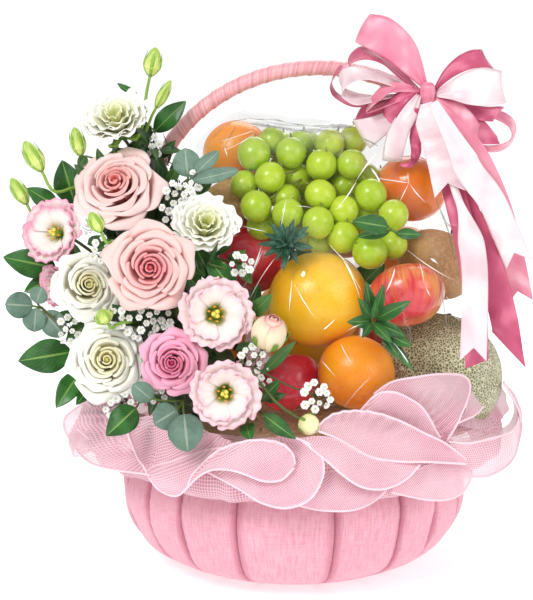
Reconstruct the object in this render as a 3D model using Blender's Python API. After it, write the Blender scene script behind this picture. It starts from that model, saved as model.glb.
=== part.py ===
"""A padded gift basket of fruit and flowers, in metres, +Z up, front towards -Y.

The origin is on the floor under the middle of the basket. Most pieces are placed
on the front view, a drawing 533 by 600 mm seen from 12 degrees above, by their
spot (u to the right, v down) and their depth y.
"""

import math
import random

import bpy
import numpy as np
from mathutils import Vector
from mathutils.bvhtree import BVHTree

# Front view
TILT = math.radians(12.0)
DISTANCE = 2.2
AIM_X = -0.0275
AIM_Z = 0.264

# Film over the fruit
FILM_MARGIN = 0.004
FILM_THICKNESS = 0.0008
FILM_SLIT = 0.004
FILM_LOW_EDGE = 0.166
FILM_HEART = Vector((0.040, -0.010, 0.270))

# Basket, filling and ruffle
BASE_RADIUS = 0.095
BELLY_RADIUS = 0.1725
RIM_HEIGHT = 0.118
FILL_HEIGHT = 0.168
SEAM_DEPTH = 0.007
FRONT_SEAMS = (-75.0, -56.7, -40.4, -19.5, 12.8, 36.6, 53.0, 72.0)
BACK_SEAMS = 10
RUFFLE_THICKNESS = 0.0014

# Handle
HANDLE_RADIUS = 0.0078
HANDLE_X = 0.024
HANDLE_HALF_WIDTH = 0.172
HANDLE_SPRING = 0.336
HANDLE_RISE = 0.157
HANDLE_Y = 0.030

# Ribbons
RIBBON_THICKNESS = 0.0009
KNOT = (0.131, 0.466)

# Grapes
GRAPE_RADIUS = 0.0139

# Fruit: name, kind, spot on the front view, depth, radius, height to width
FRUIT = (
    ("orange_front", "orange", 356.5, 372, -0.115, 0.0372, 0.97),
    ("apple_front", "apple", 290, 382, -0.088, 0.0318, 0.96),
    ("melon", "melon", 437, 375, -0.050, 0.0640, 1.0),
    ("grapefruit", "pomelo", 318, 299, -0.075, 0.0490, 0.97),
    ("apple_right", "apple", 407, 294, -0.100, 0.0362, 0.94),
    ("apple_left", "apple", 252, 262, -0.024, 0.0358, 0.96),
    ("pear_right", "pear", 437, 263, -0.030, 0.0402, 0.95),
    ("persimmon", "orange", 411, 188, -0.005, 0.0358, 0.92),
    ("orange_back", "orange", 236, 152, 0.036, 0.0338, 0.96),
    ("pear_left", "pear", 230, 205, -0.006, 0.0314, 0.96),
)

# Fruit at the back: name, kind, middle, radius, height to width
REAR_FRUIT = (
    ("grapefruit_rear", "pomelo", (0.015, 0.082, 0.222), 0.056, 0.97),
    ("orange_rear", "orange", (-0.085, 0.062, 0.210), 0.037, 0.96),
    ("apple_rear", "apple", (0.106, 0.064, 0.215), 0.035, 0.95),
    ("apple_rear_left", "apple", (-0.032, 0.058, 0.318), 0.034, 0.95),
    ("pear_rear", "pear", (0.046, 0.052, 0.332), 0.041, 0.95),
    ("orange_rear_right", "orange", (0.117, 0.052, 0.300), 0.031, 0.96),
)

# Flowers: name, kind, spot on the front view, depth, radius, facing
FLOWERS = (
    ("rose_blush", "rose", 118, 189, -0.062, 0.0410, (-0.30, -0.80, 0.50)),
    ("lisianthus_white_top", "lisianthus", 117, 121, -0.030, 0.0325, (-0.45, -0.60, 0.65)),
    ("rose_salmon", "rose", 150, 268, -0.142, 0.0375, (0.05, -0.97, 0.20)),
    ("lisianthus_white_right", "lisianthus", 206, 226, -0.100, 0.0325, (0.15, -0.85, 0.45)),
    ("lisianthus_left", "lisianthus", 53, 232, -0.062, 0.0305, (-0.55, -0.80, 0.25)),
    ("rose_white_left", "rose", 87, 287, -0.104, 0.0300, (-0.30, -0.93, 0.15)),
    ("lisianthus_low_left", "lisianthus", 55, 285, -0.050, 0.0220, (-0.70, -0.65, 0.00)),
    ("rose_white_low", "rose", 107, 361, -0.132, 0.0340, (-0.25, -0.95, 0.10)),
    ("rose_hot_pink", "rose", 173, 362, -0.160, 0.0280, (-0.05, -0.97, 0.15)),
    ("lisianthus_right", "lisianthus", 216, 314, -0.152, 0.0345, (0.15, -0.95, 0.25)),
    ("lisianthus_low", "lisianthus", 225, 394, -0.186, 0.0325, (0.05, -0.97, 0.10)),
    ("rosebud_cream", "rosebud", 270, 331, -0.163, 0.0165, (0.30, -0.80, 0.45)),
    ("bud_cream", "rosebud", 310, 425, -0.206, 0.0095, (0.60, -0.60, -0.20)),
)

# Green buds: name, foot and tip on the front view, depth, radius, how far up the stem is rooted
BUDS = (
    ("bud_top", (150, 76), (156, 47), 0.001, 0.0084, 0.0),
    ("bud_top_narrow", (156, 108), (171, 80), -0.008, 0.0050, 0.0),
    ("bud_left", (81, 156), (74, 127), -0.030, 0.0072, 0.0),
    ("bud_far_left", (42, 171), (24, 141), -0.052, 0.0086, 0.0),
    ("bud_far_left_low", (27, 204), (11, 178), -0.026, 0.0074, 0.0),
    ("bud_between", (101, 232), (90, 212), -0.136, 0.0072, 0.018),
    ("bud_round", (108, 323), (99, 310), -0.148, 0.0090, 0.018),
)

# Leaf sprays: name, material, spot and depth where the leaves meet, then each leaf's foot, tip,
# width in mm and depths at the foot and tip
SPRAYS = (
    ("leaf_spray_top", "leaf", (148, 134, 0.009), (
        ((154, 132), (186, 101), 21, 0.010, 0.008),
        ((140, 99), (117, 83), 8, 0.004, 0.002),
    )),
    ("leaf_spray_left", "leaf", (80, 214, -0.006), (
        ((75, 204), (62, 160), 30, -0.018, -0.022),
        ((58, 207), (27, 188), 19, -0.022, -0.026),
    )),
    ("leaf_spray_side", "leaf", (66, 271, -0.018), (
        ((56, 268), (3, 257), 29, -0.024, -0.036),
        ((58, 276), (24, 292), 18, -0.026, -0.036),
    )),
    ("leaf_spray_low_left", "leaf", (92, 360, -0.088), (
        ((72, 352), (18, 361), 33, -0.094, -0.112),
        ((80, 372), (56, 408), 22, -0.096, -0.122),
        ((93, 384), (76, 405), 14, -0.094, -0.120),
    )),
    ("leaf_low", "leaf", (140, 402, -0.142), (
        ((136, 408), (106, 436), 27, -0.160, -0.188),
    )),
    ("leaf_spray_front", "leaf", (252, 408, -0.146), (
        ((264, 415), (297, 440), 16, -0.162, -0.226),
        ((246, 424), (252, 446), 15, -0.168, -0.226),
        ((262, 399), (280, 380), 12, -0.152, -0.158),
        ((264, 400), (286, 394), 10, -0.150, -0.158),
    )),
    ("eucalyptus_top", "eucalyptus", (188, 183, -0.058), (
        ((188, 177), (185, 148), 27, -0.062, -0.066),
        ((190, 179), (219, 151), 15, -0.062, -0.070),
        ((192, 181), (239, 170), 14, -0.066, -0.074),
    )),
    ("eucalyptus_left", "eucalyptus", (42, 308, -0.066), (
        ((33, 306), (5, 304), 26, -0.070, -0.076),
        ((36, 303), (42, 287), 18, -0.072, -0.078),
        ((36, 308), (34, 332), 24, -0.070, -0.078),
        ((44, 312), (64, 336), 25, -0.070, -0.082),
    )),
    ("eucalyptus_low", "eucalyptus", (183, 402, -0.160), (
        ((177, 410), (154, 424), 27, -0.176, -0.194),
        ((184, 414), (188, 452), 33, -0.184, -0.222),
        ((152, 400), (133, 384), 20, -0.166, -0.170),
    )),
)

# Clusters of small white florets fused to the bed: spot, depth, radius, florets
CLUSTERS = (
    ((150, 146), -0.020, 0.013, 4),
    ((178, 207), -0.068, 0.017, 6),
    ((124, 254), -0.104, 0.013, 4),
    ((140, 323), -0.134, 0.017, 7),
    ((250, 367), -0.156, 0.013, 5),
    ((72, 326), -0.092, 0.012, 4),
    ((119, 402), -0.138, 0.009, 4),
    ((236, 268), -0.116, 0.010, 4),
)

# Bow loops: colour, tip on the front view, ribbon width at the tip, half opening, lean, roll
LOOPS = (
    ("pink", (364, 38), 0.046, 0.011, 10, 10),
    ("pink", (368, 118), 0.018, 0.004, 30, 0),
    ("pink", (478, 133), 0.020, 0.007, 12, 20),
    ("pink", (515, 127), 0.012, 0.015, 16, 80),
    ("rose", (350, 60), 0.022, 0.005, -2, 0),
    ("rose", (332, 92), 0.022, 0.005, -2, 0),
    ("rose", (486, 58), 0.022, 0.006, -2, 0),
    ("rose", (503, 112), 0.020, 0.005, -2, 0),
    ("rose", (440, 38), 0.026, 0.006, -2, 0),
    ("white", (342, 86), 0.034, 0.007, 22, -10),
    ("white", (367, 139), 0.024, 0.006, 35, 0),
    ("white", (505, 88), 0.034, 0.007, 22, 10),
)

# Bow tails: colour, spots along the tail, width, notch, least depth, layer over the film
TAILS = (
    ("white", ((449, 162), (452, 180), (450, 197)), 0.026, 0.008, -0.056, 2),
    ("white", ((470, 150), (495, 205), (512, 245), (519, 268)), 0.032, 0.010, -0.096, 2),
    ("pink", ((492, 156), (510, 220), (521, 270), (526, 307)), 0.024, 0.008, -0.066, 1),
    ("rose", ((462, 176), (490, 250), (506, 315), (511, 342)), 0.020, -0.010, -0.006, 0),
    ("white", ((449, 172), (466, 240), (473, 310), (473, 360)), 0.026, 0.010, -0.078, 3),
    ("rose", ((436, 150), (450, 190), (459, 228)), 0.012, -0.006, -0.030, 0),
    ("rose", ((412, 142), (399, 166)), 0.014, -0.004, -0.030, 0),
)

# Plain colours of the materials
COLOURS = {
    "basket_fabric": (0.80, 0.42, 0.52),
    "filling": (0.62, 0.45, 0.26),
    "handle_ribbon": (0.82, 0.42, 0.50),
    "ruffle_mesh": (0.85, 0.50, 0.60),
    "film": (0.85, 0.88, 0.90),
    "ribbon_white": (0.90, 0.80, 0.80),
    "ribbon_pink": (0.85, 0.42, 0.52),
    "ribbon_rose": (0.62, 0.16, 0.26),
    "orange_peel": (0.90, 0.32, 0.02),
    "apple_skin": (0.55, 0.03, 0.04),
    "melon_rind": (0.55, 0.50, 0.30),
    "grapefruit_peel": (0.92, 0.50, 0.04),
    "pear_skin": (0.45, 0.26, 0.10),
    "persimmon_skin": (0.90, 0.18, 0.02),
    "grape_skin": (0.50, 0.62, 0.05),
    "leaf": (0.05, 0.20, 0.03),
    "eucalyptus": (0.22, 0.36, 0.28),
    "bed": (0.03, 0.08, 0.02),
    "bud_green": (0.40, 0.58, 0.08),
    "petal_blush": (0.90, 0.58, 0.52),
    "petal_salmon": (0.88, 0.45, 0.42),
    "petal_white": (0.88, 0.85, 0.68),
    "petal_edged": (0.85, 0.55, 0.62),
    "petal_hot": (0.85, 0.18, 0.38),
    "petal_cream": (0.88, 0.62, 0.45),
}

PETALS = {
    "rose_blush": "petal_blush",
    "rose_salmon": "petal_salmon",
    "lisianthus_left": "petal_edged",
    "lisianthus_low_left": "petal_edged",
    "lisianthus_right": "petal_edged",
    "lisianthus_low": "petal_edged",
    "rose_hot_pink": "petal_hot",
    "rosebud_cream": "petal_cream",
    "bud_cream": "petal_cream",
}

SKINS = {
    "orange": "orange_peel",
    "apple": "apple_skin",
    "melon": "melon_rind",
    "pomelo": "grapefruit_peel",
    "pear": "pear_skin",
}

random.seed(7)


# Scene and mesh helpers
def clear_scene():
    for obj in list(bpy.data.objects):
        bpy.data.objects.remove(obj)


def material(name):
    made = bpy.data.materials.get(name)
    if made is None:
        made = bpy.data.materials.new(name)
        made.use_nodes = True
        shader = made.node_tree.nodes["Principled BSDF"]
        shader.inputs["Base Color"].default_value = (*COLOURS[name], 1.0)
        shader.inputs["Roughness"].default_value = 0.6
    return made


def add_solid(name, points, faces, slot):
    """An object from points and triangles, turned to face out."""
    points = np.asarray(points, float)
    faces = np.asarray(faces, int)
    corners = points[faces]
    if np.linalg.det(corners - points.mean(axis=0)).sum() < 0:
        faces = faces[:, ::-1]
    mesh = bpy.data.meshes.new(name)
    mesh.from_pydata(points.tolist(), [], faces.tolist())
    mesh.materials.append(material(slot))
    mesh.update()
    obj = bpy.data.objects.new(name, mesh)
    bpy.context.scene.collection.objects.link(obj)
    return obj


def skin(rings, first=None, last=None):
    """Triangles over rings of equal length, closed by a fan at each end that has a point."""
    count = len(rings[0])
    points = [tuple(point) for ring in rings for point in ring]
    faces = []
    for row in range(len(rings) - 1):
        for i in range(count):
            a = row * count + i
            b = row * count + (i + 1) % count
            faces.append((a, b, b + count))
            faces.append((a, b + count, a + count))
    for end, row, turned in ((first, 0, True), (last, len(rings) - 1, False)):
        if end is None:
            continue
        tip = len(points)
        points.append(tuple(end))
        for i in range(count):
            a = row * count + i
            b = row * count + (i + 1) % count
            faces.append((b, a, tip) if turned else (a, b, tip))
    return points, faces


def union(name, pieces, slot, keep=1.0):
    """One body from overlapping pieces, which are removed; keep is the share of triangles left."""
    base = pieces[0]
    group = bpy.data.collections.new(name + "_pieces")
    for piece in pieces[1:]:
        group.objects.link(piece)
    join = base.modifiers.new("join", "BOOLEAN")
    join.operation = "UNION"
    join.solver = "MANIFOLD"
    join.operand_type = "COLLECTION"
    join.collection = group
    if keep < 1.0:
        thin = base.modifiers.new("thin", "DECIMATE")
        thin.ratio = keep
    bpy.context.view_layer.update()
    graph = bpy.context.evaluated_depsgraph_get()
    mesh = bpy.data.meshes.new_from_object(base.evaluated_get(graph))
    mesh.name = name
    mesh.materials.clear()
    mesh.materials.append(material(slot))
    joined = bpy.data.objects.new(name, mesh)
    bpy.context.scene.collection.objects.link(joined)
    for piece in pieces:
        bpy.data.objects.remove(piece)
    bpy.data.collections.remove(group)
    return joined


def tree_of(obj):
    """A search tree over an object's faces."""
    bpy.context.view_layer.update()
    return BVHTree.FromObject(obj, bpy.context.evaluated_depsgraph_get())


def at(u, v, y):
    """The place whose front view spot is (u, v), at depth y."""
    m = (300.0 - v) / 1000.0
    rise = m * (1 + y * math.cos(TILT) / DISTANCE) - y * math.sin(TILT)
    rise /= math.cos(TILT) + m * math.sin(TILT) / DISTANCE
    away = 1 + (y * math.cos(TILT) - rise * math.sin(TILT)) / DISTANCE
    return Vector((AIM_X + (u - 266.5) / 1000.0 * away, y, AIM_Z + rise))


def frame_of(axis, hint=(0.0, 0.0, 1.0)):
    """Two directions at right angles to the axis and to each other."""
    axis = Vector(axis).normalized()
    side = axis.cross(Vector(hint))
    if side.length < 1e-3:
        side = axis.cross(Vector((0.0, 1.0, 0.0)))
    side.normalize()
    return side, side.cross(axis)


def ring(middle, axis, radius, count, lobes=0, wave=0.0, phase=0.0):
    side, up = frame_of(axis)
    found = []
    for i in range(count):
        turn = 2 * math.pi * i / count
        reach = radius * (1 + wave * math.cos(lobes * turn + phase))
        found.append(middle + reach * (math.cos(turn) * side + math.sin(turn) * up))
    return found


def ball(name, middle, radius, count, rows, slot, stretch=(1.0, 1.0, 1.0)):
    """A faceted ball, drawn 2 percent large so that its flats average to the radius."""
    rings = []
    for row in range(1, rows):
        polar = math.pi * row / rows
        rings.append([
            Vector(middle) + 1.02 * radius * Vector((
                stretch[0] * math.sin(polar) * math.cos(2 * math.pi * (i + 0.5 * row) / count),
                stretch[1] * math.sin(polar) * math.sin(2 * math.pi * (i + 0.5 * row) / count),
                stretch[2] * math.cos(polar),
            ))
            for i in range(count)
        ])
    top = Vector(middle) + Vector((0, 0, 1.02 * radius * stretch[2]))
    low = Vector(middle) - Vector((0, 0, 1.02 * radius * stretch[2]))
    points, faces = skin(rings, top, low)
    return add_solid(name, points, faces, slot)


def tube(name, path, radius, count, slot, end_radius=None):
    """A round stem along a path."""
    rings = []
    for i, point in enumerate(path):
        before = path[max(i - 1, 0)]
        after = path[min(i + 1, len(path) - 1)]
        part = i / (len(path) - 1)
        size = radius if end_radius is None else radius + (end_radius - radius) * part
        rings.append(ring(Vector(point), Vector(after) - Vector(before), size, count))
    points, faces = skin(rings, path[0], path[-1])
    return add_solid(name, points, faces, slot)


# Basket
def basket():
    seams = list(FRONT_SEAMS)
    span = 360.0 + FRONT_SEAMS[0] - FRONT_SEAMS[-1]
    for i in range(1, BACK_SEAMS + 1):
        seams.append(FRONT_SEAMS[-1] + span * i / (BACK_SEAMS + 1))
    turns = []
    for i, seam in enumerate(seams):
        following = seams[(i + 1) % len(seams)] + (360.0 if i + 1 == len(seams) else 0.0)
        for part in (0.0, 0.28, 0.72) if i < len(FRONT_SEAMS) else (0.0, 0.5):
            turns.append((math.radians(seam + part * (following - seam)), part == 0.0))
    rows = (
        (BASE_RADIUS, 0.0, 0.0),
        (0.128, 0.011, 0.5),
        (0.154, 0.027, 0.9),
        (0.168, 0.052, 1.0),
        (BELLY_RADIUS, 0.082, 1.0),
        (0.168, 0.106, 0.6),
        (0.160, RIM_HEIGHT, 0.2),
        (0.149, RIM_HEIGHT - 0.001, 0.0),
        (0.150, 0.070, 0.0),
        (0.112, 0.022, 0.0),
    )
    rings = []
    for radius, height, depth in rows:
        line = []
        for turn, is_seam in turns:
            reach = radius - (SEAM_DEPTH * depth if is_seam else 0.0)
            line.append(Vector((reach * math.sin(turn), -reach * math.cos(turn), height)))
        rings.append(line)
    points, faces = skin(rings, (0, 0, 0), (0, 0, 0.020))
    add_solid("basket", points, faces, "basket_fabric")


# Filling that the fruit rests on
def filling(fruit, feet):
    count = 26
    rows = (0.040, 0.075, 0.105, 0.128, 0.1425)

    def top(x, y):
        across = math.hypot(x, y) / 0.148
        height = RIM_HEIGHT + (FILL_HEIGHT - RIM_HEIGHT) * (1 - across**4)
        for middle, radius, tall in fruit:
            away = (x - middle[0])**2 + (y - middle[1])**2
            if away < radius**2:
                under = middle[2] - tall * math.sqrt(radius**2 - away) * 1.03
                height = min(height, under - 0.002)
            elif away < (radius + 0.012)**2:
                height = min(height, middle[2] - 0.004)
        for foot in feet:
            if math.hypot(x - foot[0], y - foot[1]) < 0.032:
                height = min(height, foot[2] - 0.0012)
        return height

    rings = []
    for radius in rows:
        line = []
        for i in range(count):
            turn = 2 * math.pi * i / count
            x = radius * math.sin(turn)
            y = -radius * math.cos(turn)
            line.append((x, y, top(x, y)))
        rings.append(line)
    for radius, height in ((0.1475, 0.104), (0.1475, 0.074), (0.1080, 0.0240)):
        rings.append([
            (radius * math.sin(turn), -radius * math.cos(turn), height)
            for turn in (2 * math.pi * i / count for i in range(count))
        ])
    points, faces = skin(rings, (0, 0, top(0, 0)), (0, 0, 0.0240))
    add_solid("filling", points, faces, "filling")


# Ruffle of folded mesh round the rim: lobes by turn, width, top, bottom and reach
LOBES = (
    (-80, 24, 0.186, 0.114, 0.230),
    (-50, 20, 0.186, 0.113, 0.225),
    (-22, 20, 0.166, 0.114, 0.222),
    (10, 18, 0.176, 0.112, 0.225),
    (36, 20, 0.208, 0.113, 0.228),
    (58, 18, 0.210, 0.113, 0.229),
    (90, 26, 0.188, 0.112, 0.231),
    (125, 24, 0.184, 0.112, 0.228),
    (160, 24, 0.180, 0.112, 0.225),
    (196, 24, 0.184, 0.112, 0.226),
    (232, 24, 0.180, 0.112, 0.225),
)


def lobe_value(turn, column):
    total = 0.0
    weight = 0.0
    for lobe in LOBES:
        away = (turn - lobe[0] + 180.0) % 360.0 - 180.0
        share = math.exp(-(away / lobe[1])**2)
        total += share * lobe[column]
        weight += share
    return total / weight


def ruffle():
    count = 42
    inner = []
    outer = []
    for i in range(count):
        degrees = 360.0 * i / count
        top = lobe_value(degrees, 2)
        low = lobe_value(degrees, 3)
        reach = lobe_value(degrees, 4) + 0.003 * math.cos(math.radians(13 * degrees))
        middle = 0.5 * (top + low)
        profile = np.array([
            (0.178, low + 0.010),
            (0.192, low + 0.001),
            (0.212, low),
            (reach - 0.003, middle - 0.018),
            (reach, middle + 0.010),
            (reach - 0.004, top),
        ])
        slope = np.gradient(profile, axis=0)
        normal = np.stack([slope[:, 1], -slope[:, 0]], axis=1)
        normal /= np.linalg.norm(normal, axis=1)[:, None]
        turn = math.radians(degrees)
        for keep, shift in ((outer, 0.5), (inner, -0.5)):
            moved = profile + normal * shift * RUFFLE_THICKNESS
            keep.append([(r * math.sin(turn), -r * math.cos(turn), z) for r, z in moved])
    loops = [outer[i] + inner[i][::-1] for i in range(count)]
    wide = len(loops[0])
    points = [point for loop in loops for point in loop]
    faces = []
    for i in range(count):
        for j in range(wide):
            a = i * wide + j
            b = i * wide + (j + 1) % wide
            c = ((i + 1) % count) * wide + (j + 1) % wide
            d = ((i + 1) % count) * wide + j
            faces.append((a, b, c))
            faces.append((a, c, d))
    add_solid("ruffle", points, faces, "ruffle_mesh")


# Handle
def handle_point(part):
    """The handle's middle line: part 0 at the left foot, 1 at the right foot."""
    if part < 0.2:
        rise = part / 0.2
        side = -1.0
    elif part > 0.8:
        rise = (1.0 - part) / 0.2
        side = 1.0
    else:
        turn = math.pi * (0.8 - part) / 0.6
        x = HANDLE_X + HANDLE_HALF_WIDTH * math.cos(turn)
        return Vector((x, HANDLE_Y, HANDLE_SPRING + HANDLE_RISE * math.sin(turn)))
    foot = -0.128 if side < 0 else 0.132
    wide = HANDLE_X + side * HANDLE_HALF_WIDTH
    x = foot + (wide - foot) * math.sin(0.5 * math.pi * rise)**0.8
    z = 0.131 + (HANDLE_SPRING - 0.131) * rise
    return Vector((x, HANDLE_Y + 0.008 * (1 - rise), z))


def handle():
    path = [handle_point(part) for part in (0.0, 0.07, 0.14)]
    path += [handle_point(0.2 + 0.6 * i / 16) for i in range(17)]
    path += [handle_point(part) for part in (0.86, 0.93, 1.0)]
    return tube("handle", path, HANDLE_RADIUS, 6, "handle_ribbon")


# Fruit
def fruit_solid(name, middle, radius, tall, slot, dimple):
    count, rows = (14, 8) if radius > 0.055 else (10, 6)
    rings = []
    for row in range(1, rows):
        polar = math.pi * row / rows
        reach = 1.015 * radius * math.sin(polar)
        sink = dimple * math.exp(-(polar / 0.5)**2) + 0.6 * dimple * math.exp(-((math.pi - polar) / 0.5)**2)
        height = radius * (tall * math.cos(polar) - math.copysign(sink, math.cos(polar)))
        rings.append(ring(middle + Vector((0, 0, height)), (0, 0, 1), reach, count))
    top = middle + Vector((0, 0, radius * (tall - dimple)))
    low = middle - Vector((0, 0, radius * (tall - 0.6 * dimple)))
    points, faces = skin(rings, top, low)
    return add_solid(name, points, faces, slot)


def all_fruit():
    placed = []
    for name, kind, u, v, y, radius, tall in FRUIT:
        placed.append((name, kind, at(u, v, y), radius, tall))
    for name, kind, middle, radius, tall in REAR_FRUIT:
        placed.append((name, kind, Vector(middle), radius, tall))
    for name, kind, middle, radius, tall in placed:
        slot = "persimmon_skin" if name == "persimmon" else SKINS[kind]
        dimple = 0.16 if kind in ("apple", "pear") else 0.05
        fruit_solid(name, middle, radius, tall, slot, dimple)
    return [(middle, radius, tall) for name, kind, middle, radius, tall in placed]


# Grapes: rows on the front view, left and right ends, and depth
GRAPE_ROWS = (
    (141, 268, 350, -0.006, 3),
    (159, 254, 368, -0.022, 4),
    (180, 246, 352, -0.036, 4),
    (202, 256, 372, -0.052, 4),
    (222, 264, 398, -0.066, 5),
    (239, 350, 396, -0.078, 2),
)


def clear_of(middle, radius, others, step):
    """Moves a ball by steps along y until it's clear of the others."""
    while any((middle - other).length < radius + 1.03 * size + 0.001 for other, size, tall in others):
        middle = middle + Vector((0, step, 0))
    return middle


def grapes(fruit):
    spots = []
    for row, (v, left, right, y, steps) in enumerate(GRAPE_ROWS):
        for i in range(steps + 1):
            u = left + (right - left) * i / steps
            bulge = 0.012 * math.sin(math.pi * i / steps)
            middle = at(u, v + random.uniform(-3, 3), y - bulge + random.uniform(-0.003, 0.003))
            spots.append(clear_of(middle, GRAPE_RADIUS, fruit, -0.001))
    for row in range(3):
        for i in range(3):
            middle = Vector((-0.012 + 0.027 * i + 0.010 * (row % 2), 0.012, 0.422 - 0.022 * row))
            spots.append(clear_of(middle, GRAPE_RADIUS, fruit, 0.001))
    pieces = [
        ball("grape_core", (0.016, -0.012, 0.402), 0.050, 8, 5, "grape_skin", (1.0, 0.42, 0.60)),
        ball("grape_core_middle", (0.030, -0.044, 0.372), 0.046, 8, 5, "grape_skin", (1.0, 0.42, 0.50)),
        ball("grape_core_low", (0.070, -0.074, 0.352), 0.015, 7, 4, "grape_skin", (1.9, 0.9, 0.8)),
    ]
    for i, middle in enumerate(spots):
        pieces.append(ball(f"grape_{i}", middle, GRAPE_RADIUS, 6, 4, "grape_skin"))
    union("grapes", pieces, "grape_skin", 0.5)
    return [(middle, GRAPE_RADIUS, 1.0) for middle in spots]


# Leaves
def leaf_solid(name, foot, tip, width, facing, thickness, slot, bend, root=None,
               parts=(0.22, 0.5, 0.78)):
    """A thin curved leaf whose two faces share their rim; a root gives it a stalk."""
    foot = Vector(foot)
    tip = Vector(tip)
    along = tip - foot
    side = along.cross(Vector(facing)).normalized()
    out = side.cross(along).normalized()
    rims = []
    tops = []
    lows = []
    if root is not None:
        rims.append((foot - side * 0.0017, foot + side * 0.0017))
        tops.append(foot + out * 0.0014)
        lows.append(foot - out * 0.0014)
        foot_end = Vector(root) + (Vector(root) - foot).normalized() * 0.0038
    else:
        foot_end = foot
    for part in parts:
        spread = 0.5 * width * math.sin(math.pi * part**0.9)
        middle = foot + along * part + out * bend * along.length * math.sin(math.pi * part)
        edge = middle + out * 0.12 * width
        rims.append((edge - side * spread, edge + side * spread))
        tops.append(middle + out * 0.5 * thickness)
        lows.append(middle - out * 0.5 * thickness)
    points = [foot_end, tip]
    for (left, right), top, low in zip(rims, tops, lows):
        points += [left, right, top, low]
    faces = []
    last = 2 + 4 * (len(rims) - 1)
    for row, turned in ((4, False), (5, True)):
        shape = [(0, 2, row), (0, row, 3)]
        for i in range(len(rims) - 1):
            a = 2 + 4 * i
            b = a + 4
            c = row + 4 * i
            d = c + 4
            shape += [(a, b, c), (b, d, c), (c, d, a + 1), (d, b + 1, a + 1)]
        c = row + 4 * (len(rims) - 1)
        shape += [(1, c, last), (1, last + 1, c)]
        faces += [face[::-1] for face in shape] if turned else shape
    return add_solid(name, points, faces, slot)


def tuft(name, middle, axis, leaves, length, width, slot, core):
    """Leaves round a small core, for a crown or a sprig."""
    middle = Vector(middle)
    side, up = frame_of(axis)
    axis = Vector(axis).normalized()
    pieces = [ball(name + "_core", middle, core, 6, 4, slot)]
    for i in range(leaves):
        turn = 2.4 * i
        lift = 0.15 + 0.75 * i / leaves
        out = (math.cos(turn) * side + math.sin(turn) * up) * (1 - lift * 0.75) + axis * lift
        out.normalize()
        tip = middle + out * length * (1.0 - 0.25 * lift)
        foot = middle + out * core * 0.3
        piece = leaf_solid(f"{name}_{i}", foot, tip, width, axis, 0.0022, slot, 0.10, None, (0.35, 0.72))
        pieces.append(piece)
    union(name, pieces, slot, 0.7)


# Film over the fruit
def film(balls):
    """A thin shell whose reach from its heart just clears every ball and is smoothed between them."""
    count = 26
    rows = 8
    balls = [(np.array(middle - FILM_HEART), radius + FILM_MARGIN) for middle, radius, tall in balls]
    turns = 2 * math.pi * np.arange(count) / count
    polar_end = math.radians(122)
    polars = np.linspace(0, polar_end, rows + 1)

    def needed(turn, polar):
        level = math.sin(polar)
        ray = np.array([level * math.sin(turn), -level * math.cos(turn), math.cos(polar)])
        reach = 0.05
        for middle, radius in balls:
            along = float(ray @ middle)
            inside = radius**2 - float(middle @ middle) + along**2
            if inside > 0:
                reach = max(reach, along + math.sqrt(inside))
        return reach

    step_t = math.pi / count
    step_p = 0.5 * polar_end / rows
    reach = np.zeros((rows + 1, count))
    for j, polar in enumerate(polars):
        for i, turn in enumerate(turns):
            reach[j, i] = max(
                needed(turn + a * step_t, min(max(polar + b * step_p, 0.0), math.pi))
                for a in (-1, -0.5, 0, 0.5, 1)
                for b in (-1, -0.5, 0, 0.5, 1)
            )
    reach[0] = reach[0].max()
    least = reach.copy()
    for _ in range(5):
        mean = 0.25 * (np.roll(reach, 1, 1) + np.roll(reach, -1, 1))
        mean[1:-1] += 0.25 * (reach[2:] + reach[:-2])
        mean[-1] = least[-1]
        mean[0] = reach[1].mean()
        reach = np.maximum(least, mean)
    lines = []
    for i, turn in enumerate(turns):
        line = []
        for j in range(1, rows + 1):
            polar = polars[j]
            size = reach[j, i]
            if FILM_HEART[2] + size * math.cos(polar) < FILM_LOW_EDGE:
                size = (FILM_LOW_EDGE - FILM_HEART[2]) / math.cos(polar)
            line.append((turn, polar, size))
        lines.append(line)

    def place(turn, polar, size):
        return FILM_HEART + float(size) * Vector((
            math.sin(polar) * math.sin(turn), -math.sin(polar) * math.cos(turn), math.cos(polar)
        ))

    def shell(inset):
        return [
            [place(turn, polar, size - inset) for turn, polar, size in (line[j] for line in lines)]
            for j in range(rows)
        ]

    points, faces = skin(shell(0.0), place(0, 0, reach[0, 0]))
    inner_points, _ = skin(shell(FILM_THICKNESS), place(0, 0, reach[0, 0] - FILM_THICKNESS))
    shift = len(points)
    leg = [handle_point(0.8 + 0.01 * i) for i in range(21)]

    def at_leg(quad):
        """Whether two triangles of the film come close to the handle's right leg."""
        corners = [Vector(points[corner]) for face in quad for corner in face]
        spots = corners + [a.lerp(b, 0.5) for a in corners for b in corners]
        spots += [(corners[0] + corners[1] + corners[2] + corners[5]) / 4]
        return any((spot - step).length < HANDLE_RADIUS + FILM_SLIT for spot in spots for step in leg)

    kept = []
    for first in range(0, 2 * count * (rows - 1), 2):
        if not at_leg(faces[first:first + 2]):
            kept += faces[first:first + 2]
    kept += faces[2 * count * (rows - 1):]
    edges = {(face[k], face[(k + 1) % 3]) for face in kept for k in range(3)}
    closed = list(kept) + [(c + shift, b + shift, a + shift) for a, b, c in kept]
    for a, b in sorted(edges):
        if (b, a) not in edges:
            closed.append((b, a, a + shift))
            closed.append((b, a + shift, b + shift))
    return add_solid("film", points + inner_points, closed, "film")


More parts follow.
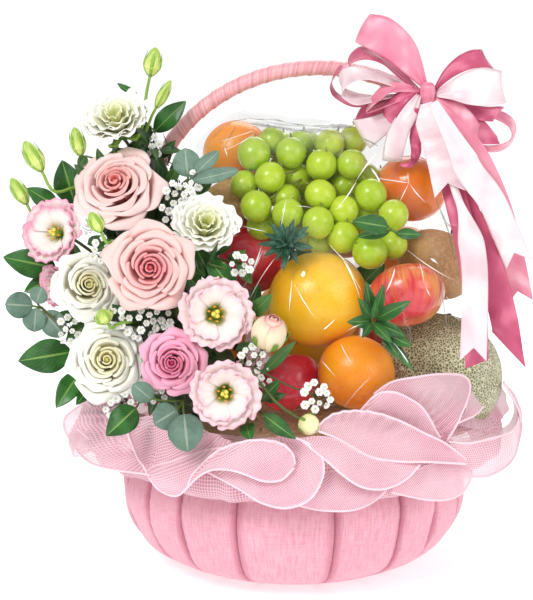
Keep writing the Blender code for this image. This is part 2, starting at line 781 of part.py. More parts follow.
# Flower bed
def bed():
    pieces = [
        ball("bed_top", (-0.150, -0.010, 0.350), 1.0, 10, 6, "bed", (0.034, 0.027, 0.084)),
        ball("bed_middle", (-0.148, -0.052, 0.264), 1.0, 10, 6, "bed", (0.050, 0.046, 0.084)),
        ball("bed_low", (-0.100, -0.106, 0.216), 1.0, 10, 6, "bed", (0.048, 0.042, 0.042)),
        ball("bed_foot", (-0.106, -0.060, 0.214), 1.0, 8, 5, "bed", (0.036, 0.040, 0.042)),
    ]
    return union("bed", pieces, "bed")


def nearest(tree, place):
    found = tree.find_nearest(place)
    return found[0]


def cluster_pieces(tree):
    """Small cores with florets round them, on stems from the bed."""
    pieces = []
    for number, ((u, v), y, radius, florets) in enumerate(CLUSTERS):
        middle = at(u, v, y)
        root = nearest(tree, middle)
        inward = (root - middle).normalized()
        pieces.append(ball(f"cluster_{number}", middle, 0.62 * radius, 5, 3, "bed"))
        pieces.append(tube(f"cluster_stem_{number}", [middle, root + inward * 0.006], 0.0022, 3, "bed"))
        outward = (Vector((0.0, -1.0, 0.25)) - inward).normalized()
        side, up = frame_of(outward)
        for i in range(florets):
            turn = 2.4 * i + number
            lift = 1.0 - 1.1 * (i + 0.5) / florets
            spread = math.sqrt(max(0.0, 1 - lift * lift))
            way = lift * outward + spread * (math.cos(turn) * side + math.sin(turn) * up)
            spot = middle + (0.50 * radius + 0.0012) * way
            pieces.append(ball(f"floret_{number}_{i}", spot, 0.0046, 4, 2, "bed"))
    return pieces


# Flowers
HEADS = {
    "rose": ((0.22, -0.62), (0.62, -0.46), (0.94, -0.14), (1.0, 0.08), (0.80, 0.30), (0.42, 0.42)),
    "lisianthus": ((0.18, -0.56), (0.42, -0.36), (0.86, -0.02), (1.0, 0.12), (0.80, 0.15), (0.34, -0.06)),
    "rosebud": ((0.30, -1.10), (0.82, -0.70), (1.0, 0.00), (0.86, 0.60), (0.48, 1.02)),
}
HEAD_TIPS = {"rose": 0.42, "lisianthus": -0.14, "rosebud": 1.05}


def flower(name, kind, middle, radius, facing, tree, slot):
    axis = Vector(facing).normalized()
    head = HEADS[kind]
    calyx = middle + axis * radius * head[0][1]
    root = nearest(tree, calyx)
    way = calyx - root
    start = root + way.normalized() * 0.0025
    count = 8
    rings = []
    if way.length > 0.004:
        rings.append(ring(start, way, 0.0018, count))
    rings.append(ring(calyx - axis * 0.001, axis, 0.0024, count))
    for reach, height in head:
        wave = 0.05 if reach > 0.5 else 0.0
        place = middle + axis * radius * height
        rings.append(ring(place, axis, reach * radius, count, 5, wave))
    points, faces = skin(rings, start if way.length > 0.004 else calyx - axis * 0.001,
                         middle + axis * radius * HEAD_TIPS[kind])
    add_solid(name, points, faces, slot)


def bud(name, foot, tip, y, radius, lift, tree):
    low = at(*foot, y)
    high = at(*tip, y)
    axis = (high - low).normalized()
    length = (high - low).length
    root = nearest(tree, low - axis * 0.015 + Vector((0.0, 0.010, lift)))
    way = (root - low).normalized()
    start = root - way * 0.0025
    rings = [ring(start, low - root, 0.0014, 6), ring(low - axis * 0.002, axis, 0.0016, 6)]
    for reach, part in ((0.55, 0.06), (1.0, 0.30), (0.92, 0.62), (0.55, 0.92)):
        rings.append(ring(low + axis * length * part, axis, reach * radius, 6))
    points, faces = skin(rings, start, high)
    add_solid(name, points, faces, "bud_green")


def spray(name, slot, spot, rows, tree):
    """Leaves that meet at the end of one stem from the bed."""
    meet = at(*spot)
    root = nearest(tree, meet)
    way = (meet - root).normalized()
    pieces = [tube(name + "_stem", [root + way * 0.0025, meet + way * 0.001], 0.0017, 5, slot)]
    pieces.append(ball(name + "_node", meet, 0.0042, 6, 3, slot))
    for i, (foot, tip, width, near, far) in enumerate(rows):
        low = at(*foot, near)
        high = at(*tip, far)
        wide = width / 1000.0
        pieces.append(leaf_solid(f"{name}_{i}", low, high, wide, (0, -1, 0.2), 0.0024, slot, 0.06, meet))
    union(name, pieces, slot)


# Bow
def ribbon(name, middles, sides, slot, notch=0.0, thickness=RIBBON_THICKNESS):
    """A flat ribbon of middle points and half-width vectors; a notch cuts a V in its end."""
    rings = []
    count = len(middles)
    for i in range(count):
        before = middles[max(i - 1, 0)]
        after = middles[min(i + 1, count - 1)]
        along = (after - before).normalized()
        normal = along.cross(sides[i]).normalized() * 0.5 * thickness
        corners = [middles[i] - sides[i] + normal, middles[i] + sides[i] + normal]
        corners += [middles[i] + sides[i] - normal, middles[i] - sides[i] - normal]
        if notch:
            shift = -along * notch if i == count - 1 else Vector((0, 0, 0))
            corners.insert(1, middles[i] + shift + normal)
            corners.insert(4, middles[i] + shift - normal)
        rings.append(corners)
    points, faces = skin(rings)
    last = len(points) - len(rings[0])
    if notch:
        faces += [(5, 1, 0), (5, 4, 1), (4, 2, 1), (4, 3, 2)]
        faces += [(last, last + 1, last + 5), (last + 1, last + 4, last + 5)]
        faces += [(last + 1, last + 2, last + 4), (last + 2, last + 3, last + 4)]
    else:
        faces += [(0, 3, 1), (3, 2, 1), (last, last + 1, last + 3), (last + 1, last + 2, last + 3)]
    return add_solid(name, points, faces, slot)


HUBS = {"rose": 0.0125, "pink": -0.0020, "white": -0.0160}


def loop(name, hub, tip_spot, width, opening, lean, roll, slot):
    tip = at(*tip_spot, hub[1])
    flat = Vector((tip[0] - hub[0], 0, tip[2] - hub[2]))
    away = flat.normalized() * math.cos(math.radians(lean)) + Vector((0, -math.sin(math.radians(lean)), 0))
    length = flat.length
    front = Vector((0, -1, 0))
    side = away.cross(front).normalized()
    normal = side.cross(away).normalized()
    turn = math.radians(roll)
    side, normal = (
        side * math.cos(turn) + normal * math.sin(turn),
        normal * math.cos(turn) - side * math.sin(turn),
    )
    middles = []
    sides = []
    steps = 8
    for i in range(steps + 1):
        part = i / steps
        reach = length * math.sin(math.pi * part)
        swing = opening * math.sin(2 * math.pi * part) + 0.0016 * math.cos(math.pi * part)
        middles.append(hub + away * reach + normal * swing)
        spread = 0.5 * width * (0.16 + 0.84 * math.sin(math.pi * part)**1.3)
        sides.append(side * spread)
    return ribbon(name, middles, sides, slot)


def front_of(tree, x, z, least, clear):
    """The depth in front of a tree's surface at (x, z)."""
    found = tree.ray_cast(Vector((x, -0.6, z)), Vector((0, 1, 0)))
    return min(found[0][1] - clear, least) if found[0] is not None else least


def tail(name, hub, spots, width, notch, least, layer, slot, tree):
    """A tail from the hub along spots of the front view, laid over the film."""
    knots = [at(*spot, least) for spot in spots]
    steps = 7 if len(spots) > 3 else 3
    middles = [hub]
    sides = [Vector((0.5 * 0.009, 0, 0))]
    lengths = [0.0]
    for a, b in zip(knots, knots[1:]):
        lengths.append(lengths[-1] + (b - a).length)
    for i in range(steps + 1):
        far = lengths[-1] * i / steps
        leg = max(j for j in range(len(knots) - 1) if lengths[j] <= far + 1e-9)
        part = (far - lengths[leg]) / (lengths[leg + 1] - lengths[leg])
        place = knots[leg].lerp(knots[leg + 1], part)
        following = knots[leg + 1] - knots[leg]
        across = Vector((-following[2], 0, following[0])).normalized()
        if across[0] < 0:
            across = -across
        half = 0.5 * width * min(1.0, 0.7 + 1.2 * i / steps)
        clear = 0.005 + 0.008 * layer
        depths = []
        for shift in (-1.2 * half, 0.0, 1.2 * half):
            for rise in (-0.012, 0.0, 0.012):
                x = place[0] + shift * across[0] + rise * across[2]
                z = place[2] + shift * across[2] + rise
                depths.append(front_of(tree, x, z, least, clear))
        place[1] = min(depths)
        middles.append(place)
        sides.append(across * half)
    return ribbon(name, middles, sides, slot, notch)


def bow(tree):
    knot_x, knot_z = KNOT
    colours = {"rose": [], "pink": [], "white": []}
    for colour, depth in HUBS.items():
        hub = Vector((knot_x, depth, knot_z))
        slot = "ribbon_" + colour
        colours[colour].append(ball("hub_" + colour, hub, 0.0085, 8, 4, slot, (1.0, 0.74, 1.0)))
        for i, (shade, tip, width, opening, lean, roll) in enumerate(LOOPS):
            if shade == colour:
                made = loop(f"loop_{i}", hub, tip, width, opening, lean, roll, slot)
                colours[colour].append(made)
        for i, (shade, spots, width, notch, least, layer) in enumerate(TAILS):
            if shade == colour:
                made = tail(f"tail_{i}", hub, spots, width, notch, least, layer, slot, tree)
                colours[colour].append(made)
    for colour, pieces in colours.items():
        union("bow_" + colour, pieces, "ribbon_" + colour)
    knot = Vector((knot_x, -0.0370, knot_z + 0.001))
    ball("bow_knot", knot, 0.0110, 9, 5, "ribbon_pink", (1.0, 0.50, 0.92))


def main():
    clear_scene()
    fruit = all_fruit()
    feet = [handle_point(0.0), handle_point(1.0)]
    basket()
    filling(fruit, feet)
    ruffle()
    handle()
    bunch = grapes(fruit)
    crown = at(288, 243, -0.094)
    sprig = at(380, 310, -0.140)
    pair = at(376, 223, -0.096)
    tuft("crown_leaves", crown, (-0.1, -0.8, 0.6), 10, 0.026, 0.0065, "leaf", 0.0060)
    tuft("leaf_sprig", sprig, (0.1, -0.95, 0.2), 9, 0.034, 0.0120, "leaf", 0.0040)
    tuft("leaf_pair", pair, (0.2, -0.9, 0.3), 4, 0.022, 0.0140, "leaf", 0.0030)
    green = [(crown, 0.024, 1.0), (sprig, 0.030, 1.0), (pair, 0.020, 1.0)]
    cover = tree_of(film(fruit + bunch + green))
    mound = bed()
    tree = tree_of(mound)
    for name, kind, u, v, y, radius, facing in FLOWERS:
        flower(name, kind, at(u, v, y), radius, facing, tree, PETALS.get(name, "petal_white"))
    for name, foot, tip, y, radius, lift in BUDS:
        bud(name, foot, tip, y, radius, lift, tree)
    for name, slot, spot, rows in SPRAYS:
        spray(name, slot, spot, rows, tree)
    union("flower_bed", [mound] + cluster_pieces(tree), "bed", 0.7)
    bow(cover)


main()
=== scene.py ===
# %% [markdown]
# # A gift basket of fruit and flowers
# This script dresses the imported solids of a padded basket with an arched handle, a bow of
# satin ribbon, a ruffle of sheer mesh, fruit under clear film and a spray of roses,
# lisianthus, leaves and baby's breath. The solids are the fixed frame. Each new piece is
# worked out from them, so it sits where its solid sits.

# %% The frame
import math

import bmesh
import bpy
import numpy as np
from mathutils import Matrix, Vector
from mathutils.bvhtree import BVHTree


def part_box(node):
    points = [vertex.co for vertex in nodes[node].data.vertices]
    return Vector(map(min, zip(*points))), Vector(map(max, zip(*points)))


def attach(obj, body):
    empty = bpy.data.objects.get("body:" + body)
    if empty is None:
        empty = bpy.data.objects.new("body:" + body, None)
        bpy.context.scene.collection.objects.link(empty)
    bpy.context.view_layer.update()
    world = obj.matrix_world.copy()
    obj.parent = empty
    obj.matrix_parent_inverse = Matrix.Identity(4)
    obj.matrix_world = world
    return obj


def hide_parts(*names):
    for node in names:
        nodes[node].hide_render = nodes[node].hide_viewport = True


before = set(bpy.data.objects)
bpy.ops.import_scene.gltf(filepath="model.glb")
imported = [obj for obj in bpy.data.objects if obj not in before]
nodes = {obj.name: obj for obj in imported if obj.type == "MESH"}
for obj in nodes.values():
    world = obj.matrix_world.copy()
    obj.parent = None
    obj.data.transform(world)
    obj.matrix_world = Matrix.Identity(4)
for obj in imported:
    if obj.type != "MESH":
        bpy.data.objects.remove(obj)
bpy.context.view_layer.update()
rng = np.random.default_rng(11)
print(len(nodes), "solids in the frame")

# %% [markdown]
# ## The front view
# The pieces are placed on a drawing of the basket's front, 533 wide and 600 high in
# millimetres, seen from 12 degrees above. A spot (u, v) on the drawing and a depth y give
# one place in the frame, so the camera that stands at the same angle sees them there.

# %% From the front view to the frame
TILT = math.radians(12.0)
DISTANCE = 2.2
AIM = np.array([-0.0275, 0.0, 0.264])
DRAWING = (533.0, 600.0)


def at(u, v, y):
    """The place seen at spot (u, v) whose depth is y: the ray through the spot meets the plane of that depth."""
    u, v, y = np.broadcast_arrays(*(np.asarray(value, float) for value in (u, v, y)))
    m = (0.5 * DRAWING[1] - v) / 1000.0
    rise = m * (1 + y * math.cos(TILT) / DISTANCE) - y * math.sin(TILT)
    rise = rise / (math.cos(TILT) + m * math.sin(TILT) / DISTANCE)
    away = 1 + (y * math.cos(TILT) - rise * math.sin(TILT)) / DISTANCE
    x = AIM[0] + (u - 0.5 * DRAWING[0]) / 1000.0 * away
    return np.stack([x, y, AIM[2] + rise], axis=-1)


def unit(vectors):
    """Vectors divided by their own lengths."""
    vectors = np.asarray(vectors, float)
    return vectors / np.maximum(np.linalg.norm(vectors, axis=-1, keepdims=True), 1e-12)


def across(axis, hint=(0.0, 0.0, 1.0)):
    """Two directions at right angles to an axis and to each other."""
    axis = unit(axis)
    side = np.cross(axis, hint)
    if np.linalg.norm(side) < 1e-3:
        side = np.cross(axis, (0.0, 1.0, 0.0))
    side = unit(side)
    return side, np.cross(side, axis)


def ease(low, high, value):
    """0 below low, 1 above high, and a smooth step between them."""
    t = np.clip((value - low) / (high - low), 0.0, 1.0)
    return t * t * (3 - 2 * t)


# %% [markdown]
# ## Surfaces from grids
# Every new piece is one or more grids of points. A grid's faces are quads between
# neighbours, and each quad's corners keep their place on the grid as a (u, v) map, so a
# weave or a vein can follow the surface. Many grids go into one mesh, as petals go into
# one flower. A pole is a row whose points coincide, and they are welded afterwards.

# %% A pile of grids
class Pile:
    """Grids gathered into one mesh, each with its own (u, v) map and its own shade number."""

    def __init__(self):
        self.points = []
        self.corners = []
        self.maps = []
        self.shades = []
        self.count = 0

    def add(self, points, around=False, shade=0.0, flip=False):
        """Adds rows by columns of points; around joins each row's end to its start."""
        rows, columns = points.shape[:2]
        wide = columns if around else columns - 1
        row, column = np.meshgrid(np.arange(rows - 1), np.arange(wide), indexing="ij")
        corner_rows = np.stack([row, row, row + 1, row + 1], axis=-1)
        corner_columns = np.stack([column, column + 1, column + 1, column], axis=-1)
        corners = corner_rows * columns + corner_columns % columns
        map_uv = np.stack([corner_columns / wide, corner_rows / (rows - 1)], axis=-1)
        if flip:
            corners = corners[..., ::-1]
            map_uv = map_uv[..., ::-1, :]
        self.points.append(points.reshape(-1, 3))
        self.corners.append(corners.reshape(-1, 4) + self.count)
        self.maps.append(map_uv.reshape(-1, 2))
        self.shades.append(np.broadcast_to(np.asarray(shade, float), points.shape[:2]).reshape(-1))
        self.count += rows * columns
        return self

    def solid(self, points, around=True, shade=0.0):
        """Adds a closed grid, turned to face outwards by the sign of its volume."""
        corners = np.roll(points, -1, axis=1) if around else points[:, 1:]
        here = points if around else points[:, :-1]
        middle = points.reshape(-1, 3).mean(axis=0)
        a, b, c = here[:-1] - middle, corners[:-1] - middle, corners[1:] - middle
        volume = np.einsum("ijk,ijk->", np.cross(a, b), c)
        return self.add(points, around, shade, flip=bool(volume < 0))

    def mesh(self, name, weld=True):
        """The finished object, at the origin and smooth; weld joins the points that coincide."""
        points = np.concatenate(self.points)
        corners = np.concatenate(self.corners)
        maps = np.concatenate(self.maps)
        data = bpy.data.meshes.new(name)
        data.vertices.add(len(points))
        data.vertices.foreach_set("co", points.astype(np.float32).ravel())
        data.loops.add(corners.size)
        data.loops.foreach_set("vertex_index", corners.astype(np.int32).ravel())
        data.polygons.add(len(corners))
        data.polygons.foreach_set("loop_start", np.arange(0, corners.size, 4, dtype=np.int32))
        data.update(calc_edges=True)
        layer = data.uv_layers.new(name="map")
        layer.uv.foreach_set("vector", maps.astype(np.float32).ravel())
        shade = data.attributes.new("shade", "FLOAT", "POINT")
        shade.data.foreach_set("value", np.concatenate(self.shades).astype(np.float32))
        if weld:
            work = bmesh.new()
            work.from_mesh(data)
            bmesh.ops.remove_doubles(work, verts=work.verts, dist=2e-7)
            work.to_mesh(data)
            work.free()
        data.polygons.foreach_set("use_smooth", np.full(len(data.polygons), True))
        data.update()
        piece = bpy.data.objects.new(name, data)
        bpy.context.scene.collection.objects.link(piece)
        return piece


def thicken(piece, thickness):
    """Gives a sheet its thickness, half of it on each side."""
    wall = piece.modifiers.new("wall", "SOLIDIFY")
    wall.thickness = thickness
    wall.offset = 0.0
    return piece


def finish(piece, look, slot, *stands_for):
    """Gives a piece its material, lets it ride on the body and hides the solids it stands for. The slot is not
    used.
    """
    piece.data.materials.clear()
    piece.data.materials.append(look)
    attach(piece, "root")
    if stands_for:
        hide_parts(*stands_for)
    return piece


def carry(path, section):
    """A section of (side, up) offsets, one row for each point of a path, carried along it without twisting."""
    path = np.asarray(path, float)
    along = unit(np.gradient(path, axis=0))
    side, _ = across(along[0])
    sides = []
    for way in along:
        side = unit(side - way * np.dot(side, way))
        sides.append(side)
    sides = np.array(sides)
    ups = np.cross(sides, along)
    section = np.asarray(section, float)
    if section.ndim == 2:
        section = np.broadcast_to(section, (len(path),) + section.shape)
    return path[:, None] + section[..., :1] * sides[:, None] + section[..., 1:] * ups[:, None]


def stem_grid(path, radii, sides=6):
    """A closed round stem along a path, with a radius at each point and a pole at each end."""
    path = np.asarray(path, float)
    radii = np.broadcast_to(np.asarray(radii, float), (len(path),))
    turn = 2 * np.pi * np.arange(sides) / sides
    circle = np.stack([np.cos(turn), np.sin(turn)], axis=-1)
    body = carry(path, radii[:, None, None] * circle[None])
    first = np.broadcast_to(path[0], (1, sides, 3))
    last = np.broadcast_to(path[-1], (1, sides, 3))
    return np.concatenate([first, body, last])


def curve_through(knots, count):
    """Points along a smooth curve through the knots, a spline whose slope at each knot follows its neighbours."""
    knots = np.asarray(knots, float)
    padded = np.concatenate([2 * knots[:1] - knots[1:2], knots, 2 * knots[-1:] - knots[-2:-1]])
    where = np.linspace(0, len(knots) - 1, count)
    leg = np.minimum(where.astype(int), len(knots) - 2)
    t = (where - leg)[:, None]
    a, b, c, d = (padded[leg + i] for i in range(4))
    return 0.5 * (2 * b + (c - a) * t + (2 * a - 5 * b + 4 * c - d) * t**2 + (3 * b - a - 3 * c + d) * t**3)


# %% [markdown]
# ## Materials as expressions
# A material's numbers are sockets. A small class wraps one socket, and its operators add
# Math nodes, so a mask can be written as a formula. Another class makes any other node,
# mixes colours and holds the Principled shader that every finish ends in.

# %% Socket arithmetic
class Value:
    """A number in a material. Arithmetic on it adds Math nodes."""

    def __init__(self, finish_tree, socket):
        self.tree = finish_tree
        self.socket = socket

    def math(self, operation, *others):
        """A Math node on this value and others."""
        made = self.tree.nodes.new("ShaderNodeMath")
        made.operation = operation
        for slot_number, other in enumerate((self,) + others):
            if isinstance(other, Value):
                self.tree.links.new(other.socket, made.inputs[slot_number])
            else:
                made.inputs[slot_number].default_value = other
        return Value(self.tree, made.outputs[0])

    def reflected(self, operation, other):
        """A Math node on a plain number and this value, in that order."""
        made = self.tree.nodes.new("ShaderNodeMath")
        made.operation = operation
        made.inputs[0].default_value = other
        self.tree.links.new(self.socket, made.inputs[1])
        return Value(self.tree, made.outputs[0])

    def __add__(self, other): return self.math("ADD", other)
    def __radd__(self, other): return self.math("ADD", other)
    def __sub__(self, other): return self.math("SUBTRACT", other)
    def __rsub__(self, other): return self.reflected("SUBTRACT", other)
    def __mul__(self, other): return self.math("MULTIPLY", other)
    def __rmul__(self, other): return self.math("MULTIPLY", other)
    def __truediv__(self, other): return self.math("DIVIDE", other)
    def __rtruediv__(self, other): return self.reflected("DIVIDE", other)
    def __pow__(self, other): return self.math("POWER", other)
    def __neg__(self): return self.math("MULTIPLY", -1.0)

    def sine(self): return self.math("SINE")
    def size(self): return self.math("ABSOLUTE")
    def least(self, other): return self.math("MINIMUM", other)
    def most(self, other): return self.math("MAXIMUM", other)
    def part(self): return self.math("FRACT")

    def between(self, low, high):
        """0 below low and 1 above high, in a smooth step."""
        made = self.tree.nodes.new("ShaderNodeMapRange")
        made.interpolation_type = "SMOOTHSTEP"
        made.inputs["From Min"].default_value = low
        made.inputs["From Max"].default_value = high
        self.tree.links.new(self.socket, made.inputs["Value"])
        return Value(self.tree, made.outputs["Result"])


# %% Finishes
class Finish:
    """One material that ends in a Principled shader, with short ways to add nodes."""

    def __init__(self, name, **plain):
        self.material = bpy.data.materials.new(name)
        self.material.use_nodes = True
        self.tree = self.material.node_tree
        self.shader = self.tree.nodes["Principled BSDF"]
        for socket, value in plain.items():
            self.put(socket.replace("_", " "), value)

    def plug(self, target, value):
        """Links a value to a socket, or sets the socket to a plain number, vector or colour."""
        if isinstance(value, Value):
            self.tree.links.new(value.socket, target)
        elif target.type == "RGBA":
            target.default_value = (*value, 1.0)
        else:
            target.default_value = value

    def put(self, socket, value):
        """Sets or links one socket of the Principled shader."""
        self.plug(self.shader.inputs[socket], value)
        return self

    def node(self, kind, settings=None, output=0, **sockets):
        """A node of a kind, its settings first and then its sockets, by name or i0, i1 for a number."""
        made = self.tree.nodes.new("ShaderNode" + kind)
        for key, value in (settings or {}).items():
            setattr(made, key, value)
        for key, value in sockets.items():
            numbered = key[0] == "i" and key[1:].isdigit()
            self.plug(made.inputs[int(key[1:]) if numbered else key], value)
        return Value(self.tree, made.outputs[output])

    def place(self, scale=(1.0, 1.0, 1.0), turn=(0.0, 0.0, 0.0), shift=(0.0, 0.0, 0.0)):
        """Object coordinates, shifted, turned and scaled."""
        spot = self.node("TexCoord", output="Object")
        return self.node("Mapping", Vector=spot, Location=shift, Rotation=turn, Scale=scale)

    def map(self):
        """The piece's own (u, v) map as two values."""
        return self.axes(self.node("UVMap", {"uv_map": "map"}))[:2]

    def axes(self, spot):
        """The three parts of a vector."""
        split = self.tree.nodes.new("ShaderNodeSeparateXYZ")
        self.tree.links.new(spot.socket, split.inputs[0])
        return [Value(self.tree, output) for output in split.outputs]

    def joined(self, x, y, z=0.0):
        """A vector from three values."""
        return self.node("CombineXYZ", i0=x, i1=y, i2=z)

    def shade(self):
        """The number that a pile gave each of its grids."""
        return self.node("Attribute", {"attribute_name": "shade"}, output="Fac")

    def noise(self, scale, detail=2.0, rough=0.5, spot=None):
        """Smooth noise from 0 to 1, over the piece or over a vector of its own."""
        return self.node("TexNoise", Vector=spot or self.place(), Scale=scale, Detail=detail, Roughness=rough)

    def cells(self, scale, feature="F1", random=1.0):
        """The distance to the nearest point or edge of a pattern of cells."""
        return self.node("TexVoronoi", {"feature": feature}, output="Distance", Vector=self.place(),
                         Scale=scale, Randomness=random)

    def mix(self, share, first, second):
        """Two colours mixed by a share from 0 to 1."""
        return self.node("Mix", {"data_type": "RGBA"}, output=2, i0=share, i6=first, i7=second)

    def ramp(self, share, *stops):
        """A colour from stops of (place, colour)."""
        made = self.tree.nodes.new("ShaderNodeValToRGB")
        ramp = made.color_ramp
        while len(ramp.elements) < len(stops):
            ramp.elements.new(0.5)
        for element, (spot, colour) in zip(ramp.elements, stops):
            element.position = spot
            element.color = (*colour, 1.0)
        self.tree.links.new(share.socket, made.inputs[0])
        return Value(self.tree, made.outputs[0])

    def relief(self, height, distance, strength=1.0):
        """Bump of a height, whose 1 stands distance metres out."""
        bump = self.node("Bump", Height=height, Distance=distance, Strength=strength)
        return self.put("Normal", bump)


def colour(red, green, blue):
    """A colour given in the usual 0 to 255 steps, as linear light."""
    steps = np.array([red, green, blue]) / 255.0
    return tuple(np.where(steps <= 0.04045, steps / 12.92, ((steps + 0.055) / 1.055) ** 2.4).tolist())

# %% [markdown]
# ## Camera, floor and light
# The camera stands where the photograph's did: straight in front, 12 degrees up and
# 2.2 m away, with a long lens. The floor and the world are pale, and three large soft
# lamps stand for a studio.

# %% Camera and stage
LENS = 0.132
camera_data = bpy.data.cameras.new("camera")
camera_data.lens = LENS * 1000
camera_data.sensor_width = 36.0
camera_data.sensor_fit = "VERTICAL"
camera_data.sensor_height = 1000 * LENS * DRAWING[1] / 1000.0 / DISTANCE
camera = bpy.data.objects.new("camera", camera_data)
camera.location = Vector(AIM) + DISTANCE * Vector((0.0, -math.cos(TILT), math.sin(TILT)))
camera.rotation_euler = (math.pi / 2 - TILT, 0.0, 0.0)
bpy.context.scene.collection.objects.link(camera)
bpy.context.scene.camera = camera

floor_look = Finish("floor", Base_Color=(0.80, 0.80, 0.80), Roughness=0.9, Specular_IOR_Level=0.0)
floor_look.put("Emission Color", (1.0, 1.0, 1.0)).put("Emission Strength", 0.50)
floor_pile = Pile()
reach = np.linspace(-16.0, 16.0, 3)
floor_pile.add(np.stack(np.meshgrid(reach, reach) + [np.full((3, 3), -0.0005)], axis=-1))
floor = floor_pile.mesh("floor")
floor.data.materials.append(floor_look.material)

world = bpy.data.worlds.new("studio")
world.use_nodes = True
background = world.node_tree.nodes["Background"]
background.inputs["Color"].default_value = (1.0, 1.0, 1.0, 1.0)
background.inputs["Strength"].default_value = 0.62
bpy.context.scene.world = world
bpy.context.scene.view_settings.view_transform = "Standard"


def lamp(name, place, target, size, power):
    """A square soft lamp at a place, turned towards a target."""
    data = bpy.data.lights.new(name, "AREA")
    data.size = size
    data.energy = power
    made = bpy.data.objects.new(name, data)
    made.location = place
    made.rotation_euler = (Vector(place) - Vector(target)).to_track_quat("Z", "Y").to_euler()
    bpy.context.scene.collection.objects.link(made)
    return made


lamp("key", (-1.1, -1.7, 1.9), (0, 0, 0.25), 0.9, 32)
lamp("fill", (1.6, -1.3, 1.0), (0, 0, 0.25), 1.2, 12)
lamp("back", (0.3, 1.6, 1.7), (0, 0, 0.3), 1.2, 14)

# %% [markdown]
# ## The padded basket
# The basket is a stitched cover over a soft wall: a linen-like cloth in panels, pulled in
# at each seam and plump between them. The wall is one closed surface whose radius is a
# profile from the floor to the rim, less a groove at each seam. Each panel's fullness is
# (1 - |2t - 1|^6)^0.5 for t from 0 to 1 across it, so it rounds over quickly near a seam
# and stays almost flat in its middle.

# %% Basket surface
FRONT_SEAMS = (-75.0, -56.7, -40.4, -19.5, 12.8, 36.6, 53.0, 72.0)
BACK_SEAMS = 10
SEAM_DEPTH = 0.0075
PANEL_POINTS = 24
WALL_PROFILE = ((0.060, 0.0002), (0.097, 0.0008), (0.128, 0.0105), (0.154, 0.027), (0.168, 0.052),
                (0.1735, 0.082), (0.1690, 0.106), (0.1600, 0.1180), (0.1540, 0.1190))
INNER_PROFILE = ((0.1505, 0.1130), (0.1500, 0.090), (0.1490, 0.070), (0.1360, 0.046), (0.1120, 0.022))


def panel_turns():
    """Turns from the front in degrees, crowded towards each seam, how far each is across its panel, and which."""
    seams = list(FRONT_SEAMS)
    span = 360.0 + FRONT_SEAMS[0] - FRONT_SEAMS[-1]
    seams += [FRONT_SEAMS[-1] + span * i / (BACK_SEAMS + 1) for i in range(1, BACK_SEAMS + 1)]
    across_panel = 0.5 - 0.5 * np.cos(np.pi * np.arange(PANEL_POINTS) / PANEL_POINTS)
    ends = seams[1:] + [seams[0] + 360.0]
    turns = np.concatenate([a + (b - a) * across_panel for a, b in zip(seams, ends)])
    numbers = np.repeat(np.arange(len(seams)), PANEL_POINTS)
    return turns, np.tile(across_panel, len(seams)), numbers


def basket_cover():
    """Rings of radius profile(row) - groove(panel), with small puckers beside the seams."""
    turns, t, number = panel_turns()
    outer = curve_through(np.array([(r, 0, z) for r, z in WALL_PROFILE]), 64)
    inner = curve_through(np.array([(r, 0, z) for r, z in INNER_PROFILE]), 14)
    profile = np.concatenate([outer, inner])
    radius, height = profile[:, 0], profile[:, 2]
    depth = SEAM_DEPTH * ease(0.0, 0.030, height) * (1 - 0.75 * ease(0.100, 0.119, height))
    depth[len(outer):] = 0.0
    depth[:6] *= 0.3
    full = (1 - np.abs(2 * t - 1) ** 6) ** 0.5
    near_seam = np.exp(-((1 - np.abs(2 * t - 1)) / 0.30) ** 2)
    radius, height, depth = radius[:, None], height[:, None], depth[:, None]
    pucker = np.sin(2 * np.pi * (height / 0.0105 + 0.37 * number)) * near_seam
    pucker += 0.6 * np.sin(2 * np.pi * (height / 0.0062 + 0.71 * number)) * near_seam
    sag = 0.0012 * np.sin(2 * np.pi * (height / 0.06 + 0.23 * number**2)) * full
    r = radius - depth * (1 - full) + (0.00035 * pucker + sag) * (depth > 0.002)
    turn = np.radians(turns)
    points = np.stack([r * np.sin(turn), -r * np.cos(turn), np.broadcast_to(height, r.shape)], axis=-1)
    first = np.broadcast_to([[0.0, 0.0, 0.0002]], (1, len(turns), 3))
    last = np.broadcast_to([[0.0, 0.0, 0.0205]], (1, len(turns), 3))
    seam = np.broadcast_to(near_seam, (len(profile) + 2, len(turns)))
    return np.concatenate([first, points, last]), seam


cover_points, cover_seams = basket_cover()
cover_pile = Pile()
cover_pile.solid(cover_points, shade=cover_seams)
cover = cover_pile.mesh("basket_cover")

linen = Finish("linen", Roughness=0.82, Specular_IOR_Level=0.25, Sheen_Weight=0.25, Sheen_Roughness=0.5)
u, v = linen.map()
GIRTH_MM, WALL_MM, THREAD_MM = 1085.0, 230.0, 1.7
around, up = u * GIRTH_MM, v * WALL_MM
slub = linen.noise(1.0, 3.0, 0.6, linen.joined(around * 0.9, up * 0.07))
pick = linen.noise(1.0, 2.0, 0.5, linen.joined(around * 0.10, up * 0.8))
warp = (around * (2 * math.pi / THREAD_MM)).sine()
weft = (up * (2 * math.pi / THREAD_MM)).sine()
weave = warp * 0.25 + weft * 0.20 + slub * 1.2 + pick * 0.8
crease = linen.shade()
tint = linen.mix(slub.between(0.32, 0.68), colour(224, 152, 170), colour(236, 178, 192))
tint = linen.mix(pick.between(0.35, 0.70) * 0.30, tint, colour(245, 196, 208))
# painted shade: the cloth turns a darker pink towards each seam, where its groove lies in shade
tint = linen.mix(crease.between(0.55, 1.0) * 0.50, tint, colour(196, 108, 132))
linen.put("Base Color", tint).relief(weave, 0.00045, 0.7)
finish(cover, linen.material, "basket_fabric", "basket")
print("basket cover:", len(cover.data.polygons), "faces")

